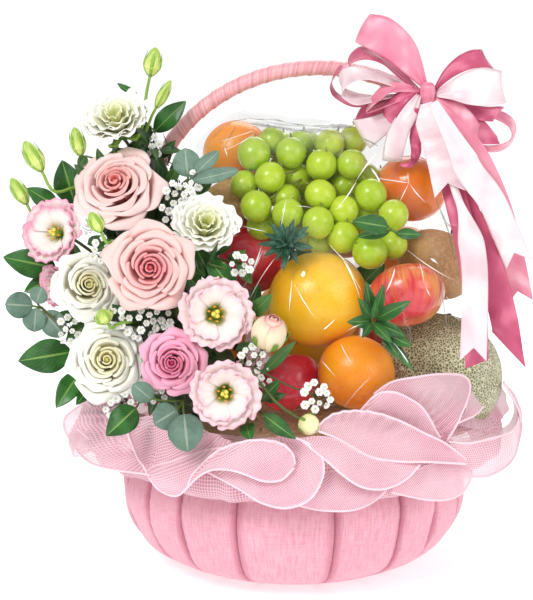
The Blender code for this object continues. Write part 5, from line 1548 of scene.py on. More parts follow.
# %% Buds
BUDS = (
    # solid, foot, tip, depth, radius, how much higher its stem meets the greenery
    ("bud_top", (150, 76), (156, 47), 0.001, 0.0084, 0.0),
    ("bud_top_narrow", (156, 108), (171, 80), -0.008, 0.0050, 0.0),
    ("bud_left", (81, 156), (74, 127), -0.030, 0.0072, 0.0),
    ("bud_far_left", (42, 171), (24, 141), -0.052, 0.0086, 0.0),
    ("bud_far_left_low", (27, 204), (11, 178), -0.026, 0.0074, 0.0),
    ("bud_between", (101, 232), (90, 212), -0.136, 0.0072, 0.018),
    ("bud_round", (108, 323), (99, 310), -0.148, 0.0090, 0.018),
)
bud_pile = Pile()
for number, (node, foot, tip, y, radius, lift) in enumerate(BUDS):
    low, high = at(*foot, y), at(*tip, y)
    axis = unit(high - low)
    length = np.linalg.norm(high - low)
    side, up = across(axis)
    part = np.linspace(0, 1, 22)[:, None]
    turn = 2 * np.pi * np.arange(20)[None] / 20
    girth = np.interp(part, (0, 0.06, 0.30, 0.62, 0.86, 0.96, 1.0), (0.0, 0.50, 1.0, 0.90, 0.55, 0.26, 0.0))
    groove = 1 + 0.10 * np.abs(np.sin(2.5 * (turn + 1.8 * part))) - 0.05
    circle = np.cos(turn)[..., None] * side + np.sin(turn)[..., None] * up
    body = low + axis * (length * part)[..., None] + circle * (radius * girth * groove)[..., None]
    bud_pile.solid(body, shade=0.2 + 0.1 * number)
    for i in range(5):
        knots = ((0.16, -0.02), (0.62, 0.10), (1.06, 0.34), (1.02, 0.62), (0.86, 0.84))
        sepal = petal(i * 2 * np.pi / 5, 0.34, [(r, h * length / radius) for r, h in knots],
                      0.8, 0.0, 0.0, rows=11, columns=5)
        greens.add(set_flower(sepal, low, radius, axis), shade=0.9)
    root = nearest_green(low - axis * 0.015 + (0.0, 0.010, lift))
    away = np.linalg.norm(root - low)
    knots = [low + axis * 0.001, low - axis * 0.30 * away, 0.5 * (low + root) - axis * 0.10 * away,
             root + unit(root - low) * 0.006]
    stem(greens, knots, 12, np.linspace(0.0013, 0.0016, 12), 0.8)
bud_look = Finish("bud_skin", Roughness=0.42, Sheen_Weight=0.2)
bud_u, bud_v = bud_look.map()
bud_spot = bud_look.joined(bud_u * 30.0 + bud_v * 5.0, bud_v * 3.0, bud_look.shade() * 9.0)
bud_grain = bud_look.noise(1.0, 3.0, 0.6, bud_spot)
bud_tint = bud_look.mix(bud_v.between(0.25, 0.95), colour(206, 220, 120), colour(152, 190, 62))
bud_look.put("Base Color", bud_look.mix(bud_grain.between(0.45, 0.7) * 0.6, bud_tint, colour(226, 232, 160)))
bud_look.relief(bud_grain, 0.0005, 0.6)
finish(bud_pile.mesh("flower_buds"), bud_look.material, "bud_green", *(row[0] for row in BUDS))

# %% [markdown]
# ## Leaves
# A leaf runs from foot to tip, widest a little before its middle. Its halves fold up along
# the midrib and its edge waves a little. The map gives its length and width, so the finish
# can draw a pale midrib and slanting side veins.

# %% Leaves
def leaf(pile, foot, tip, width, facing, bend=0.06, fold=0.16, wave=0.05, fullness=0.8,
         widest=0.88, shade=0.5, rows=19, columns=9):
    """One leaf blade as a grid from foot to tip."""
    foot, tip = np.asarray(foot, float), np.asarray(tip, float)
    along = tip - foot
    length = np.linalg.norm(along)
    side = unit(np.cross(along, facing))
    out = unit(np.cross(side, along))
    part = np.linspace(0, 1, rows)[:, None]
    across_part = np.linspace(-1, 1, columns)[None]
    half = 0.5 * width * np.clip(np.sin(np.pi * part**widest), 0, 1) ** fullness
    ripple = wave * width * np.sin(5 * np.pi * part + 7 * shade + 1.2 * across_part) * np.abs(across_part) ** 2
    lift = (bend * length + ripple) * np.sin(np.pi * part) + fold * np.abs(across_part) * half * 2
    points = foot + along * part[..., None] + side * (half * across_part)[..., None] + out * lift[..., None]
    return pile.add(points, shade=shade)


def leaf_look(name, dark, mid, pale, vein, gloss, veins=9.0):
    """A leaf's finish: darker at the edge, a pale midrib and slanting side veins."""
    look = Finish(name, Roughness=gloss, Specular_IOR_Level=0.5, Sheen_Weight=0.1)
    u, v = look.map()
    own = look.shade()
    centre = (u - 0.5).size()
    rib = 1.0 - centre.between(0.018, 0.050)
    slanted = ((v * veins - centre * veins * 0.9).part() - 0.5).size() * 2.0
    side_vein = slanted.between(0.86, 1.0) * (1.0 - centre.between(0.30, 0.50))
    patch = look.noise(60.0, 3.0, 0.6)
    tint = look.mix(patch.between(0.3, 0.7) * 0.6 + own * 0.4, dark, mid)
    tint = look.mix(centre.between(0.10, 0.5) * 0.35, tint, dark)
    tint = look.mix(own.between(0.65, 1.0) * 0.7, tint, pale)
    tint = look.mix(side_vein * 0.25 + rib * 0.65, tint, vein)
    look.put("Base Color", tint).relief(rib * -0.6 + side_vein * -0.5 + patch * 0.2, 0.0006, 0.6)
    return look.material


SPRAYS = (
    # solid, where its leaves meet as (u, v, depth), leaves as foot, tip, width in mm, depths at the foot and tip
    ("leaf_spray_top", (148, 134, 0.009),
     (((154, 132), (186, 101), 21, 0.010, 0.008), ((140, 99), (117, 83), 8, 0.004, 0.002))),
    ("leaf_spray_left", (80, 214, -0.006),
     (((75, 204), (62, 160), 30, -0.018, -0.022), ((58, 207), (27, 188), 19, -0.022, -0.026))),
    ("leaf_spray_side", (66, 271, -0.018),
     (((56, 268), (3, 257), 29, -0.024, -0.036), ((58, 276), (24, 292), 18, -0.026, -0.036))),
    ("leaf_spray_low_left", (92, 360, -0.088),
     (((72, 352), (18, 361), 33, -0.094, -0.112), ((80, 372), (56, 408), 22, -0.096, -0.122),
                                                ((93, 384), (76, 405), 14, -0.094, -0.120))),
    ("leaf_low", (140, 402, -0.142), (((136, 408), (106, 436), 27, -0.160, -0.188),)),
    ("leaf_spray_front", (252, 408, -0.146),
     (((264, 415), (296, 439), 16, -0.190, -0.235), ((246, 424), (251, 441), 15, -0.168, -0.200),
                                              ((262, 399), (280, 380), 12, -0.152, -0.158),
                                              ((264, 400), (286, 394), 10, -0.150, -0.158))),
)
DISCS = (
    ("eucalyptus_top", (188, 183, -0.058),
     (((188, 177), (185, 148), 27, -0.062, -0.066), ((190, 179), (219, 151), 15, -0.062, -0.070),
                                            ((192, 181), (239, 170), 14, -0.066, -0.074))),
    ("eucalyptus_left", (42, 308, -0.066),
     (((33, 306), (5, 304), 26, -0.070, -0.076), ((36, 303), (42, 287), 18, -0.072, -0.078),
                                            ((36, 308), (34, 332), 24, -0.070, -0.078),
                                            ((44, 312), (64, 336), 25, -0.070, -0.082))),
    ("eucalyptus_low", (183, 402, -0.160),
     (((177, 410), (154, 424), 27, -0.176, -0.194), ((184, 414), (188, 452), 33, -0.184, -0.222),
                                            ((152, 400), (133, 384), 20, -0.166, -0.170))),
)
TO_FRONT = (0, -1, 0.2)
leaves = Pile()
discs = Pile()
ROUND_LEAF = {"fullness": 0.55, "widest": 1.0, "fold": 0.05, "wave": 0.03, "bend": 0.04}
for pile, groups, shape in ((leaves, SPRAYS, {}), (discs, DISCS, ROUND_LEAF)):
    for node, (mu, mv, my), blades in groups:
        meet = at(mu, mv, my)
        root = nearest_green(meet)
        inward = unit(root - meet)
        line = [meet - inward * 0.001, 0.5 * (meet + root), root + inward * 0.006]
        greens.solid(stem_grid(line, 0.0012), shade=0.25)
        for number, (foot, tip, width, near, far) in enumerate(blades):
            low, high = at(*foot, near), at(*tip, far)
            own = 0.15 + 0.6 * ((7 * number + mu) % 10) / 10
            leaf(pile, low, high, width / 1000.0, TO_FRONT, shade=own, **shape)
            knots = [meet + inward * 0.002, 0.5 * (meet + low), low + 0.08 * (high - low)]
            stem(greens, knots, 6, 0.0009, 0.35, 5)

CROWN_LEAVES, CROWN_LENGTH, CROWN_WIDTH, CROWN_CORE = 24, 0.029, 0.0072, 0.004
crown = Pile()
middle = at(287, 246, -0.100)
axis = unit((-0.05, -0.85, 0.5))
side, up = across(axis)
crown.solid(sphere(middle, CROWN_CORE), shade=0.3)
for i in range(CROWN_LEAVES):
    turn = 2.4 * i
    lift = 0.10 + 0.80 * i / CROWN_LEAVES
    out = unit((math.cos(turn) * side + math.sin(turn) * up) * (1 - 0.75 * lift) + axis * lift)
    tip = middle + out * CROWN_LENGTH * (1.0 - 0.22 * lift)
    leaf(crown, middle + out * 0.3 * CROWN_CORE, tip, CROWN_WIDTH, axis * 1.2 + out * 0.1,
         0.10, 0.22, 0.05, 0.85, 0.80, 0.15 + 0.7 * ((3 * i) % 7) / 7)

SPRIGS = (
    # foot, tip, width in mm, depths at the foot and tip
    ((372, 317), (366, 281), 12, -0.146, -0.166), ((374, 316), (384, 284), 11, -0.146, -0.170),
    ((375, 319), (411, 301), 14, -0.146, -0.164),
    ((371, 321), (347, 322), 13, -0.146, -0.168), ((371, 318), (358, 298), 10, -0.148, -0.172),
    ((373, 318), (376, 300), 7, -0.150, -0.178),
    ((374, 322), (406, 336), 12, -0.146, -0.166), ((373, 323), (392, 343), 10, -0.148, -0.170),
    ((386, 334), (412, 346), 13, -0.150, -0.168),
    ((382, 334), (401, 360), 9, -0.150, -0.162), ((388, 337), (413, 371), 8, -0.150, -0.158),
    ((371, 323), (362, 338), 8, -0.150, -0.168),
    ((208, 258), (239, 297), 22, -0.110, -0.117), ((214, 286), (247, 306), 15, -0.116, -0.124),
    ((384, 262), (360, 286), 18, -0.030, -0.034),
    ((288, 264), (318, 246), 16, -0.030, -0.030), ((350, 276), (384, 268), 15, -0.020, -0.020),
    ((226, 300), (252, 322), 14, -0.112, -0.120),
    ((196, 248), (215, 284), 19, -0.104, -0.112), ((216, 250), (197, 278), 16, -0.100, -0.108),
    ((186, 272), (207, 300), 15, -0.118, -0.126),
    ((249, 312), (259, 284), 15, -0.062, -0.062),
    ((388, 227), (352, 221), 19, -0.104, -0.116), ((389, 232), (357, 237), 10, -0.100, -0.108),
    ((396, 233), (422, 235), 11, -0.098, -0.104),
)
for number, (foot, tip, width, near, far) in enumerate(SPRIGS):
    own = 0.35 + 0.05 * ((5 * number) % 9)
    leaf(leaves, at(*foot, near), at(*tip, far), width / 1000.0, TO_FRONT, 0.08, 0.24, shade=own)
SPRIG_STEMS = (
    (((372, 322, -0.150), (380, 330, -0.148), (388, 338, -0.146), (386, 346, -0.110)), 0.0012),
    (((372, 316, -0.150), (372, 322, -0.146), (376, 322, -0.110)), 0.0012),
    (((388, 226, -0.104), (392, 230, -0.098), (396, 233, -0.096), (398, 236, -0.070)), 0.0010),
)
for knots, radius in SPRIG_STEMS:
    stem(greens, [at(*knot) for knot in knots], 8, radius, 0.5)

leaf_green = leaf_look("leaf_green", colour(22, 74, 24), colour(54, 126, 44),
                       colour(92, 158, 58), colour(150, 190, 100), 0.30)
finish(thicken(leaves.mesh("leaves", weld=False), 0.0004), leaf_green, "leaf",
       *(row[0] for row in SPRAYS), "leaf_sprig", "leaf_pair")
finish(thicken(crown.mesh("crown_of_leaves", weld=False), 0.0004),
       leaf_look("leaf_blue_green", colour(16, 66, 48), colour(40, 110, 74), colour(78, 146, 96),
                 colour(140, 180, 140), 0.34, 5.0),
       "leaf", "crown_leaves")
finish(thicken(discs.mesh("eucalyptus_discs", weld=False), 0.0004),
       leaf_look("eucalyptus_grey", colour(82, 114, 98), colour(124, 152, 134), colour(156, 178, 160),
                 colour(170, 186, 164), 0.55, 5.0),
       "eucalyptus", *(row[0] for row in DISCS))
print("leaves:", len(leaves.points), "crown:", len(crown.points), "discs:", len(discs.points))

# %% [markdown]
# ## The ruffle
# A wide strip of sheer mesh is gathered round the rim and thrown into lobes. An under layer
# runs all the way round as a gathered puff. Over it lie the lobes, each a piece of surface
# between two borders that bulges outwards. On the front the borders follow the drawing, at
# a given distance from the basket's axis, and round the sides and back they follow a rule.

# %% Ruffle surfaces
def round_at(knots, reaches):
    """Spots of the front view at given distances from the upright axis of the basket."""
    u, v = np.array(knots, float).T
    reach = np.interp(np.linspace(0, 1, len(u)), np.linspace(0, 1, len(reaches)), reaches)
    y = np.full(len(u), -0.15)
    for _ in range(12):
        x = at(u, v, y)[:, 0]
        y = -np.sqrt(np.maximum(reach**2 - x**2, 0.018**2))
    return at(u, v, y)


def turned(degrees, height, reach):
    """Places by their turn about the upright axis from the front, their height and their distance from it."""
    turn = np.radians(np.asarray(degrees, float))
    reach = np.asarray(reach, float)
    return np.stack([reach * np.sin(turn), -reach * np.cos(turn), np.broadcast_to(height, turn.shape)], axis=-1)


def lobe(first, second, bulge, gathers=0.0, phase=0.0, rows=26, columns=70):
    """A bulging surface between two borders; gathers are fine folds that fade away from the first border."""
    a = curve_through(first, columns)[None]
    b = curve_through(second, columns)[None]
    part = np.linspace(0, 1, rows)[:, None, None]
    sheet = a * (1 - part) + b * part
    outward = sheet * (1.0, 1.0, 0.0)
    outward = outward / np.maximum(np.linalg.norm(outward, axis=-1, keepdims=True), 1e-6)
    along = np.linspace(0, 1, columns)[None, :, None]
    swell = bulge * np.sin(np.pi * part) * np.sin(np.pi * along) ** 0.6
    fold = gathers * np.sin(2 * np.pi * (9 * along + 0.8 * np.sin(5 * along + phase) + 0.5 * part) + phase)
    fold = fold * (1 - part) ** 1.2 * np.sin(np.pi * along) ** 0.5
    return sheet + outward * (swell + fold)


FRONT_LOBES = (
    # first border and its distances from the axis, second border and its distances, bulge, gathers, hem on 1 or 2
    (((96, 396), (112, 402), (128, 412), (142, 426), (150, 444), (154, 462)), (0.186, 0.196, 0.204),
     ((96, 396), (76, 408), (64, 420), (68, 437), (92, 464), (150, 475)),
     (0.200, 0.226, 0.220), 0.006, 0.002, 2),
    (((126, 421), (150, 416), (180, 422), (205, 430), (228, 440), (236, 447)), (0.196, 0.198, 0.200),
     ((124, 424), (142, 464), (165, 463), (190, 455), (212, 449), (228, 448)),
     (0.212, 0.210, 0.206), 0.000, 0.002, 2),
    (((142, 464), (158, 465), (172, 462), (190, 455), (206, 450), (226, 448)), (0.212, 0.214, 0.212),
     ((142, 464), (156, 487), (174, 496), (186, 489), (193, 474), (212, 455)),
     (0.216, 0.224, 0.222), 0.004, 0.0, 2),
    (((187, 488), (193, 474), (212, 455), (231, 445), (256, 440), (280, 443), (292, 453), (295, 464)),
     (0.220, 0.226, 0.222),
     ((187, 488), (198, 477), (212, 470), (230, 470), (247, 475), (263, 481), (281, 480), (294, 468)),
     (0.222, 0.228, 0.224), 0.004, 0.001, 3),
    (((206, 470), (222, 462), (242, 458), (262, 458), (276, 456), (284, 450), (284, 442), (276, 438)),
     (0.206, 0.210, 0.206),
     ((208, 472), (239, 489), (262, 503), (288, 508), (312, 497), (324, 470), (314, 447), (280, 432)),
     (0.216, 0.225, 0.218), 0.006, 0.001, 2),
    (((318, 426), (332, 415), (352, 411), (376, 413), (400, 421), (424, 433), (448, 445), (466, 460)),
     (0.206, 0.210, 0.222),
     ((318, 431), (336, 438), (352, 447), (368, 456), (384, 460), (405, 462), (430, 462), (466, 464)),
     (0.212, 0.218, 0.226), -0.010, 0.002, 3),
    (((300, 438), (318, 436), (336, 439), (352, 448), (368, 456), (384, 461), (402, 463), (420, 464)),
     (0.212, 0.218, 0.220),
     ((300, 439), (312, 449), (328, 462), (344, 476), (362, 487), (384, 489), (405, 480), (420, 465)),
     (0.218, 0.228, 0.224), 0.005, 0.0, 2),
    (((400, 466), (412, 470), (424, 466), (436, 463), (450, 463), (464, 464), (470, 468)),
     (0.214, 0.216, 0.222),
     ((391, 492), (412, 497), (431, 500), (449, 499), (463, 492), (471, 478), (470, 468)),
     (0.210, 0.218, 0.224), 0.007, 0.001, 2),
    (((306, 500), (318, 480), (334, 470), (352, 480), (370, 484), (380, 486), (386, 488)),
     (0.204, 0.208, 0.206),
     ((290, 503), (301, 506), (320, 510), (344, 511), (360, 508), (374, 501), (386, 490)),
     (0.206, 0.212, 0.206), 0.006, 0.001, 2),
    (((360, 416), (372, 416), (388, 420), (404, 426), (420, 434), (436, 442)), (0.196, 0.198, 0.204),
     ((360, 411), (376, 395), (392, 392), (408, 398), (424, 410), (440, 438)),
     (0.188, 0.200, 0.210), 0.005, 0.001, 2),
    (((372, 404), (392, 402), (410, 406), (426, 418), (438, 430), (447, 440)), (0.184, 0.186, 0.196),
     ((374, 394), (392, 382), (416, 377), (440, 374), (464, 376), (470, 390), (459, 420), (447, 441)),
     (0.176, 0.196, 0.206), 0.006, 0.002, 2),
    (((456, 384), (462, 392), (466, 404), (464, 414), (458, 422)), (0.196, 0.200, 0.202),
     ((462, 377), (472, 383), (480, 392), (483, 405), (475, 415), (458, 423)),
     (0.190, 0.204, 0.204), 0.002, 0.0, 2),
    (((456, 424), (470, 428), (486, 428), (500, 420), (508, 410), (506, 396), (500, 384)),
     (0.204, 0.206, 0.200),
     ((456, 421), (470, 417), (484, 415), (492, 404), (496, 394), (499, 386), (501, 380)),
     (0.198, 0.196, 0.192), 0.000, 0.001, 2),
    (((449, 442), (470, 440), (490, 434), (508, 424), (514, 410), (510, 394), (503, 382)),
     (0.208, 0.214, 0.206),
     ((449, 442), (470, 443), (492, 438), (510, 432), (518, 418), (516, 398), (504, 382)),
     (0.212, 0.222, 0.216), 0.002, 0.0, 2),
    (((450, 444), (470, 444), (492, 439), (510, 433), (518, 420), (516, 400), (504, 383)),
     (0.212, 0.220, 0.216),
     ((464, 477), (480, 477), (492, 475), (508, 465), (517, 449), (520, 416), (504, 383)),
     (0.214, 0.226, 0.222), 0.004, 0.001, 2),
)
FOLLOWING, GATHERED = 2.0, 4.0  # shades that mark a weave drawn on a lobe's own map, and the gathered puff
FOLLOWING_LOBES = (0, 12, 13, 14)
SIDE_LOBES = 20  # the numbers of the lobes round the sides and back start here
ruffle = Pile()
hems = Pile()


def hem(border, radius=0.0011):
    """The strip's rolled edge, a thin cord of cloth along a border."""
    hems.solid(stem_grid(border, radius, 6))


def put_lobe(first, second, bulge, gathers, edge, phase):
    """Adds a lobe with a hem on its second border, or on both where edge is 3."""
    sheet = lobe(first, second, bulge, gathers, phase)
    following = phase in FOLLOWING_LOBES or phase >= SIDE_LOBES
    ruffle.add(sheet, shade=FOLLOWING if following else (0.37 * phase) % 1.0)
    if edge >= 2:
        hem(sheet[-1])
    if edge in (1, 3):
        hem(sheet[0])


for number, (first, first_reach, second, second_reach, bulge, gathers, edge) in enumerate(FRONT_LOBES):
    put_lobe(round_at(first, first_reach), round_at(second, second_reach), bulge, gathers, edge, number)
for number, start in enumerate(np.arange(96, 262, 27.0)):
    part = np.linspace(0, 1, 8)
    sway = math.sin(2.3 * number)
    degrees = start - 6 + 40 * part
    lift = np.sin(np.pi * part)
    top = turned(degrees, 0.148 + 0.040 * lift + 0.004 * sway - 0.010 * part, 0.200 + 0.012 * lift)
    middle = turned(degrees + 2, 0.146 - 0.004 * np.sin(2 * np.pi * part) - 0.012 * part, 0.207 + 0.013 * lift)
    low = turned(degrees + 4, 0.142 - (0.028 + 0.003 * sway) * lift, 0.208 + 0.015 * lift)
    put_lobe(top, middle, -0.004, 0.0015, 3, SIDE_LOBES + number)
    put_lobe(middle, low, 0.006, 0.0, 2, SIDE_LOBES + 10 + number)

PUFF = ((0.181, 0.124), (0.186, 0.115), (0.198, 0.1135), (0.207, 0.122), (0.208, 0.138),
        (0.202, 0.154), (0.190, 0.166), (0.176, 0.170), (0.170, 0.164))
profile = curve_through(PUFF, 30)
turn = 2 * np.pi * np.arange(360)[None] / 360
wave = 0.0030 * np.sin(31 * turn + 2 * np.sin(3 * turn)) + 0.0018 * np.sin(53 * turn + 1.5 * np.sin(5 * turn))
free = np.sin(np.pi * np.linspace(0, 1, 30))[:, None]
distance = profile[:, :1] + wave * free - 0.002
height = profile[:, 1:] + 0.003 * np.sin(7 * turn + 1.0) * free
under = np.stack([distance * np.sin(turn), -distance * np.cos(turn), height], axis=-1)
ruffle.add(under, around=True, shade=GATHERED)

sheer = Finish("sheer_mesh", Roughness=0.75, Specular_IOR_Level=0.25, Sheen_Weight=0.5, Sheen_Roughness=0.45)
u, v = sheer.map()
x, y, z = sheer.axes(sheer.place())
PITCH = 2.0 * math.pi / 0.0021  # the threads that are drawn in space lie 2.1 mm apart
warp_cloth = sheer.noise(14.0, 1.0, 0.5) * 5.0
kind = sheer.shade()
follows, gathered = kind.between(1.4, 1.6), kind.between(2.9, 3.1)
first_thread = ((x + y * 0.5 + z * 0.75) * PITCH + warp_cloth).sine()
second_thread = ((x * 0.75 + y * 0.35 - z) * PITCH + warp_cloth).sine()
across_thread = (u * (gathered * 446.0 + 54.0) * 2.0 * math.pi).sine()
along_thread = (v * (gathered * 22.0 + 16.0) * 2.0 * math.pi).sine()
first_thread = first_thread * (1.0 - follows) + across_thread * follows
second_thread = second_thread * (1.0 - follows) + along_thread * follows
thread = first_thread.between(0.15, 0.85).most(second_thread.between(0.15, 0.85))
edge_band = (v - 0.5).size().between(0.44, 0.50)
tint = sheer.mix(sheer.noise(22.0, 2.0, 0.5).between(0.3, 0.7), colour(236, 172, 192), colour(246, 196, 210))
tint = sheer.mix(thread * 0.35 + edge_band * 0.35, tint, colour(252, 222, 230))
sheer.put("Base Color", tint)
sheer.put("Alpha", (thread * 0.42 + edge_band * 0.3 + 0.50).least(1.0))
sheer.relief(thread, 0.0004, 0.7)
mesh_piece = ruffle.mesh("ruffle_mesh_cloth", weld=False)
finish(mesh_piece, sheer.material, "ruffle_mesh", "ruffle")
rolled = Finish("rolled_hem", Roughness=0.7, Sheen_Weight=0.4)
rolled.put("Base Color", colour(250, 214, 224))
hem_piece = hems.mesh("ruffle_hem", weld=False)
finish(hem_piece, rolled.material, "ruffle_mesh")
mesh_area = sum(p.area for p in mesh_piece.data.polygons)
print("ruffle:", len(ruffle.points), "surfaces,", round(mesh_area, 3), "square metres of mesh")

# %% [markdown]
# ## Baby's breath
# Each cluster is a fork of thin stems from the greenery with a small double flower on each
# end. The flowers are scattered over a patch of the front view with a least distance
# between them, and pushed out of the flower heads they meet.

# %% Baby's breath
BREATH = (
    # middle on the front view, half sizes, flowers, depth
    (150, 147, 13, 11, 7, -0.022), (178, 206, 17, 24, 24, -0.074), (117, 250, 27, 14, 20, -0.108),
    (139, 322, 35, 22, 36, -0.136), (256, 366, 17, 24, 24, -0.160), (316, 395, 15, 15, 12, -0.200),
    (70, 328, 12, 17, 10, -0.096), (122, 402, 20, 17, 14, -0.142), (156, 394, 9, 10, 5, -0.156),
    (240, 264, 12, 10, 9, -0.124), (92, 226, 10, 10, 5, -0.084), (196, 180, 10, 8, 4, -0.066),
)
LEAST_GAP, TRIES = 6.6, 900  # between two flowers on the front view, and how often a cluster is tried
florets = Pile()
threads = Pile()
head_spots = np.array([at(row[2], row[3], row[4]) for row in HEADS])
head_sizes = np.array([row[5] for row in HEADS])
draw = np.random.default_rng(5)


def floret(middle, facing, size):
    """A double flower: two rings of cupped petals round a green heart."""
    for reach, number, lift, top in ((1.0, 6, 0.10, 0.30), (0.66, 5, 0.30, 0.55)):
        for i in range(number):
            knots = ((0.06, -0.30), (0.45 * reach, lift - 0.10), (0.85 * reach, top), (reach, top - 0.05))
            blade = petal(2 * np.pi * i / number + reach, 0.50, knots, 0.22,
                          0.03, 0.06, 1.5, i, rows=5, columns=5)
            florets.add(set_flower(blade, middle, size, facing), shade=1.0)
    florets.solid(set_flower(sphere((0, 0, 0.02), 0.20, 4, 6), middle, size, facing), shade=0.0)
    florets.solid(set_flower(sphere((0, 0, -0.30), 0.24, 4, 6, (1, 1, 1.3)), middle, size, facing), shade=0.3)


for u0, v0, half_u, half_v, number, depth in BREATH:
    hub = at(u0, v0, depth + 0.020)
    root = nearest_green(hub)
    knots = [hub, 0.5 * (hub + root) + (0, 0, -0.003), root + unit(root - hub) * 0.008]
    stem(threads, knots, 7, 0.0008, 0.2, 5)
    kept = []
    for _ in range(TRIES):
        if len(kept) == number:
            break
        a, b = draw.uniform(-1, 1, 2)
        spot = np.array([u0 + half_u * a, v0 + half_v * b])
        if a * a + b * b > 1 or any(np.hypot(*(spot - other)) < LEAST_GAP for other in kept):
            continue
        kept.append(spot)
        size = draw.uniform(0.0027, 0.0044)
        place = at(*spot, depth + draw.uniform(-0.006, 0.006))
        place[1] = min(place[1], clear_depth(place[0], place[2], 9.0, 0.006))
        offset = place - head_spots
        away = np.linalg.norm(offset, axis=1)
        near = int(np.argmin(away / head_sizes))
        if away[near] < head_sizes[near] * 1.02:
            place = head_spots[near] + unit(offset[near] + (0, 0.006, 0)) * head_sizes[near] * 1.03
        facing = unit(np.array([0.25 * a, -1.0, 0.25 - 0.2 * b]) + draw.normal(0, 0.22, 3))
        floret(place, facing, size)
        foot = place - facing * size * 0.5
        stem(threads, [foot, 0.5 * (foot + hub) - facing * 0.004 + (0, 0, -0.002), hub], 6, 0.00034, 0.2, 4)
breath_look = Finish("breath_petals", Roughness=0.6, Sheen_Weight=0.2)
breath_look.put("Base Color", breath_look.ramp(
    breath_look.shade(), (0.0, colour(214, 222, 120)), (0.3, colour(150, 176, 90)),
                                               (0.7, colour(252, 252, 248)), (1.0, colour(252, 252, 250))))
finish(florets.mesh("breath_flowers", weld=False), breath_look.material, "bed")
thread_look = Finish("breath_stems", Roughness=0.6)
thread_look.put("Base Color", thread_look.mix(thread_look.noise(60.0), colour(40, 62, 26), colour(86, 104, 48)))
finish(threads.mesh("breath_stems", weld=False), thread_look.material, "bed")
print("baby's breath:", len(florets.points), "grids")

# %% [markdown]
# ## The greenery under the flowers
# Small leaves cover a rounded core on every side, so no bare shape shows between the
# blooms, and a few longer leaves stand where the front view shows them.

# %% Greenery
CORE = (
    # the rounded cores under the leaves: middle, half sizes
    ((-0.150, -0.010, 0.350), (0.034, 0.027, 0.084)), ((-0.148, -0.052, 0.264), (0.050, 0.046, 0.084)),
    ((-0.100, -0.106, 0.216), (0.048, 0.042, 0.042)), ((-0.106, -0.060, 0.214), (0.036, 0.040, 0.042)),
)
SINGLE = (
    # foot, tip, width in mm, depth
    ((104, 168), (97, 148), 9, -0.040), ((118, 165), (113, 147), 8, -0.036), ((92, 182), (74, 164), 10, -0.036),
    ((196, 194), (214, 178), 11, -0.058), ((168, 184), (180, 164), 12, -0.040),
    ((250, 316), (272, 294), 15, -0.138),
    ((262, 373), (296, 341), 11, -0.160), ((209, 264), (218, 243), 5, -0.122),
    ((130, 156), (144, 139), 9, -0.022),
    ((78, 252), (58, 262), 12, -0.050), ((80, 262), (70, 240), 11, -0.056), ((88, 244), (104, 236), 10, -0.070),
    ((112, 240), (96, 252), 11, -0.084), ((120, 250), (134, 236), 9, -0.090),
    ((76, 316), (52, 318), 13, -0.070),
    ((84, 322), (66, 342), 12, -0.080), ((96, 322), (112, 334), 11, -0.110),
    ((124, 316), (112, 304), 10, -0.116),
    ((150, 318), (166, 330), 11, -0.126), ((186, 300), (176, 318), 11, -0.126),
    ((238, 262), (252, 284), 12, -0.112),
    ((228, 262), (246, 250), 11, -0.106), ((236, 350), (258, 344), 11, -0.148),
    ((244, 372), (258, 384), 11, -0.156),
    ((190, 262), (206, 276), 11, -0.112), ((88, 214), (70, 222), 12, -0.040),
    ((86, 156), (78, 168), 10, -0.034),
    ((160, 158), (176, 140), 10, -0.008), ((205, 255), (232, 246), 9, -0.100),
    ((96, 320), (84, 338), 10, -0.106),
)
greenery = Pile()
draw = np.random.default_rng(9)
middles = np.array([row[0] for row in CORE])
sizes = np.array([row[1] for row in CORE])
for middle, size in CORE:
    greenery.solid(sphere(middle, 0.94, 18, 24, size), shade=0.0)
for index, (middle, size) in enumerate(CORE):
    ways = unit(draw.normal(size=(170 if index < 2 else 110, 3)))
    for way in ways:
        place = middle + way * size
        inside = (((place - middles) / sizes) ** 2).sum(axis=1) < 0.92
        if inside.any():
            continue
        normal = unit(way / size)
        side, up = across(normal)
        turn = draw.uniform(0, 2 * np.pi)
        lift = normal * draw.uniform(0.15, 0.65) + (0, 0, 0.25)
        flow = unit(math.cos(turn) * side + math.sin(turn) * up + lift)
        length = draw.uniform(0.014, 0.026)
        leaf(greenery, place - flow * 0.003, place + flow * length, length * draw.uniform(0.34, 0.46), normal,
             0.08, 0.16, 0.05, 0.8, 0.85, draw.uniform(0.1, 0.8), rows=8, columns=5)
for foot, tip, width, y in SINGLE:
    low, high = at(*foot, y + 0.004), at(*tip, y - 0.006)
    root = nearest_green(low)
    leaf(greenery, low, high, width / 1000.0, TO_FRONT, shade=0.3 + 0.05 * width)
    knots = [low + 0.1 * (high - low), low, 0.5 * (low + root), root + unit(root - low) * 0.006]
    stem(greens, knots, 8, 0.0008, 0.35, 5)
finish(greenery.mesh("greenery", weld=False),
       leaf_look("greenery_leaf", colour(20, 50, 20), colour(42, 88, 34),
                 colour(78, 126, 50), colour(120, 150, 84), 0.42, 4.0),
       "bed", "flower_bed")
green_look = Finish("stem_green", Roughness=0.5)
green_look.put("Base Color", green_look.ramp(
    green_look.shade(), (0.2, colour(96, 74, 50)), (0.4, colour(84, 120, 48)),
                                             (0.8, colour(130, 170, 60)), (1.0, colour(150, 190, 70))))
finish(thicken(greens.mesh("stems_and_sepals", weld=False), 0.0003), green_look.material, "leaf")
print("greenery:", len(greenery.points), "grids")

# %% [markdown]
# ## The filling
# Shredded paper fills the basket under the fruit. A core follows the top of the solid
# filling, and curled paper strips lie on it.

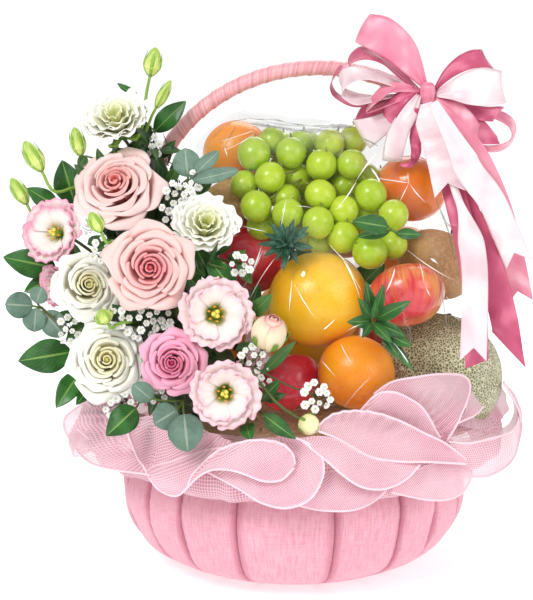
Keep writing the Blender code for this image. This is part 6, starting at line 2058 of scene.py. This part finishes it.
# %% Filling
SHREDS, SHRED_POINTS, SHRED_WIDTH = 900, 9, 0.0018
fill_tree = search_tree(nodes["filling"])
reach = np.linspace(0.0, 0.1455, 34)[:, None]
turn = 2 * np.pi * np.arange(90)[None] / 90
x, y = reach * np.sin(turn), -reach * np.cos(turn)


def fill_top(x, y):
    """How high the solid filling stands at (x, y)."""
    hit = fill_tree.ray_cast(Vector((x, y, 0.4)), Vector((0, 0, -1)))
    return hit[0][2] if hit[0] is not None else 0.104


top = np.array([[fill_top(float(a), float(b)) for a, b in zip(line_x, line_y)] for line_x, line_y in zip(x, y)])
core = np.stack([x, y, top - 0.002], axis=-1)
base = [core[-1:] * (share, share, 0) + (0, 0, z) for share, z in ((1, 0.080), (0.74, 0.026), (0, 0.026))]
shreds = Pile().solid(np.concatenate([core, *base]), shade=0.4)
draw = np.random.default_rng(3)
for _ in range(SHREDS):
    distance = 0.136 * math.sqrt(draw.uniform())
    way = draw.uniform(0, 2 * np.pi)
    px, py = distance * math.sin(way), -distance * math.cos(way)
    heading = draw.uniform(0, 2 * np.pi)
    length = draw.uniform(0.016, 0.034)
    part = np.linspace(-0.5, 0.5, SHRED_POINTS)
    curl = heading + draw.uniform(-2.5, 2.5) * part
    line = np.cumsum(np.stack([np.cos(curl), np.sin(curl)], axis=-1), axis=0) * length / SHRED_POINTS
    line = line - line.mean(axis=0) + (px, py)
    fade = np.minimum(1.0, 0.138 / np.maximum(np.hypot(*line.T), 1e-6))
    line = line * fade[:, None]
    rise = fill_top(px, py) - 0.001 + 0.0016 * np.sin(draw.uniform(0, 6.28) + 7 * part)
    flat = np.array([min(fill_top(*spot), fill_top(px, py)) for spot in line]) - 0.0012
    height = 0.5 * (flat + np.minimum(rise, flat + 0.003))
    path = np.concatenate([line, height[:, None]], axis=1)
    tilt = np.full(SHRED_POINTS, draw.uniform(-0.5, 0.5))
    sideways = unit(np.stack([-np.sin(curl), np.cos(curl), tilt], axis=-1)) * 0.5 * SHRED_WIDTH
    shreds.add(np.stack([path - sideways, path + sideways], axis=1), shade=draw.uniform(0.2, 1.0))
shred_look = Finish("paper_shreds", Roughness=0.8)
shred_look.put("Base Color", shred_look.mix(shred_look.shade(), colour(196, 160, 118), colour(236, 214, 178)))
finish(shreds.mesh("shredded_paper", weld=False), shred_look.material, "filling", "filling")
print("filling:", len(shreds.points), "grids")
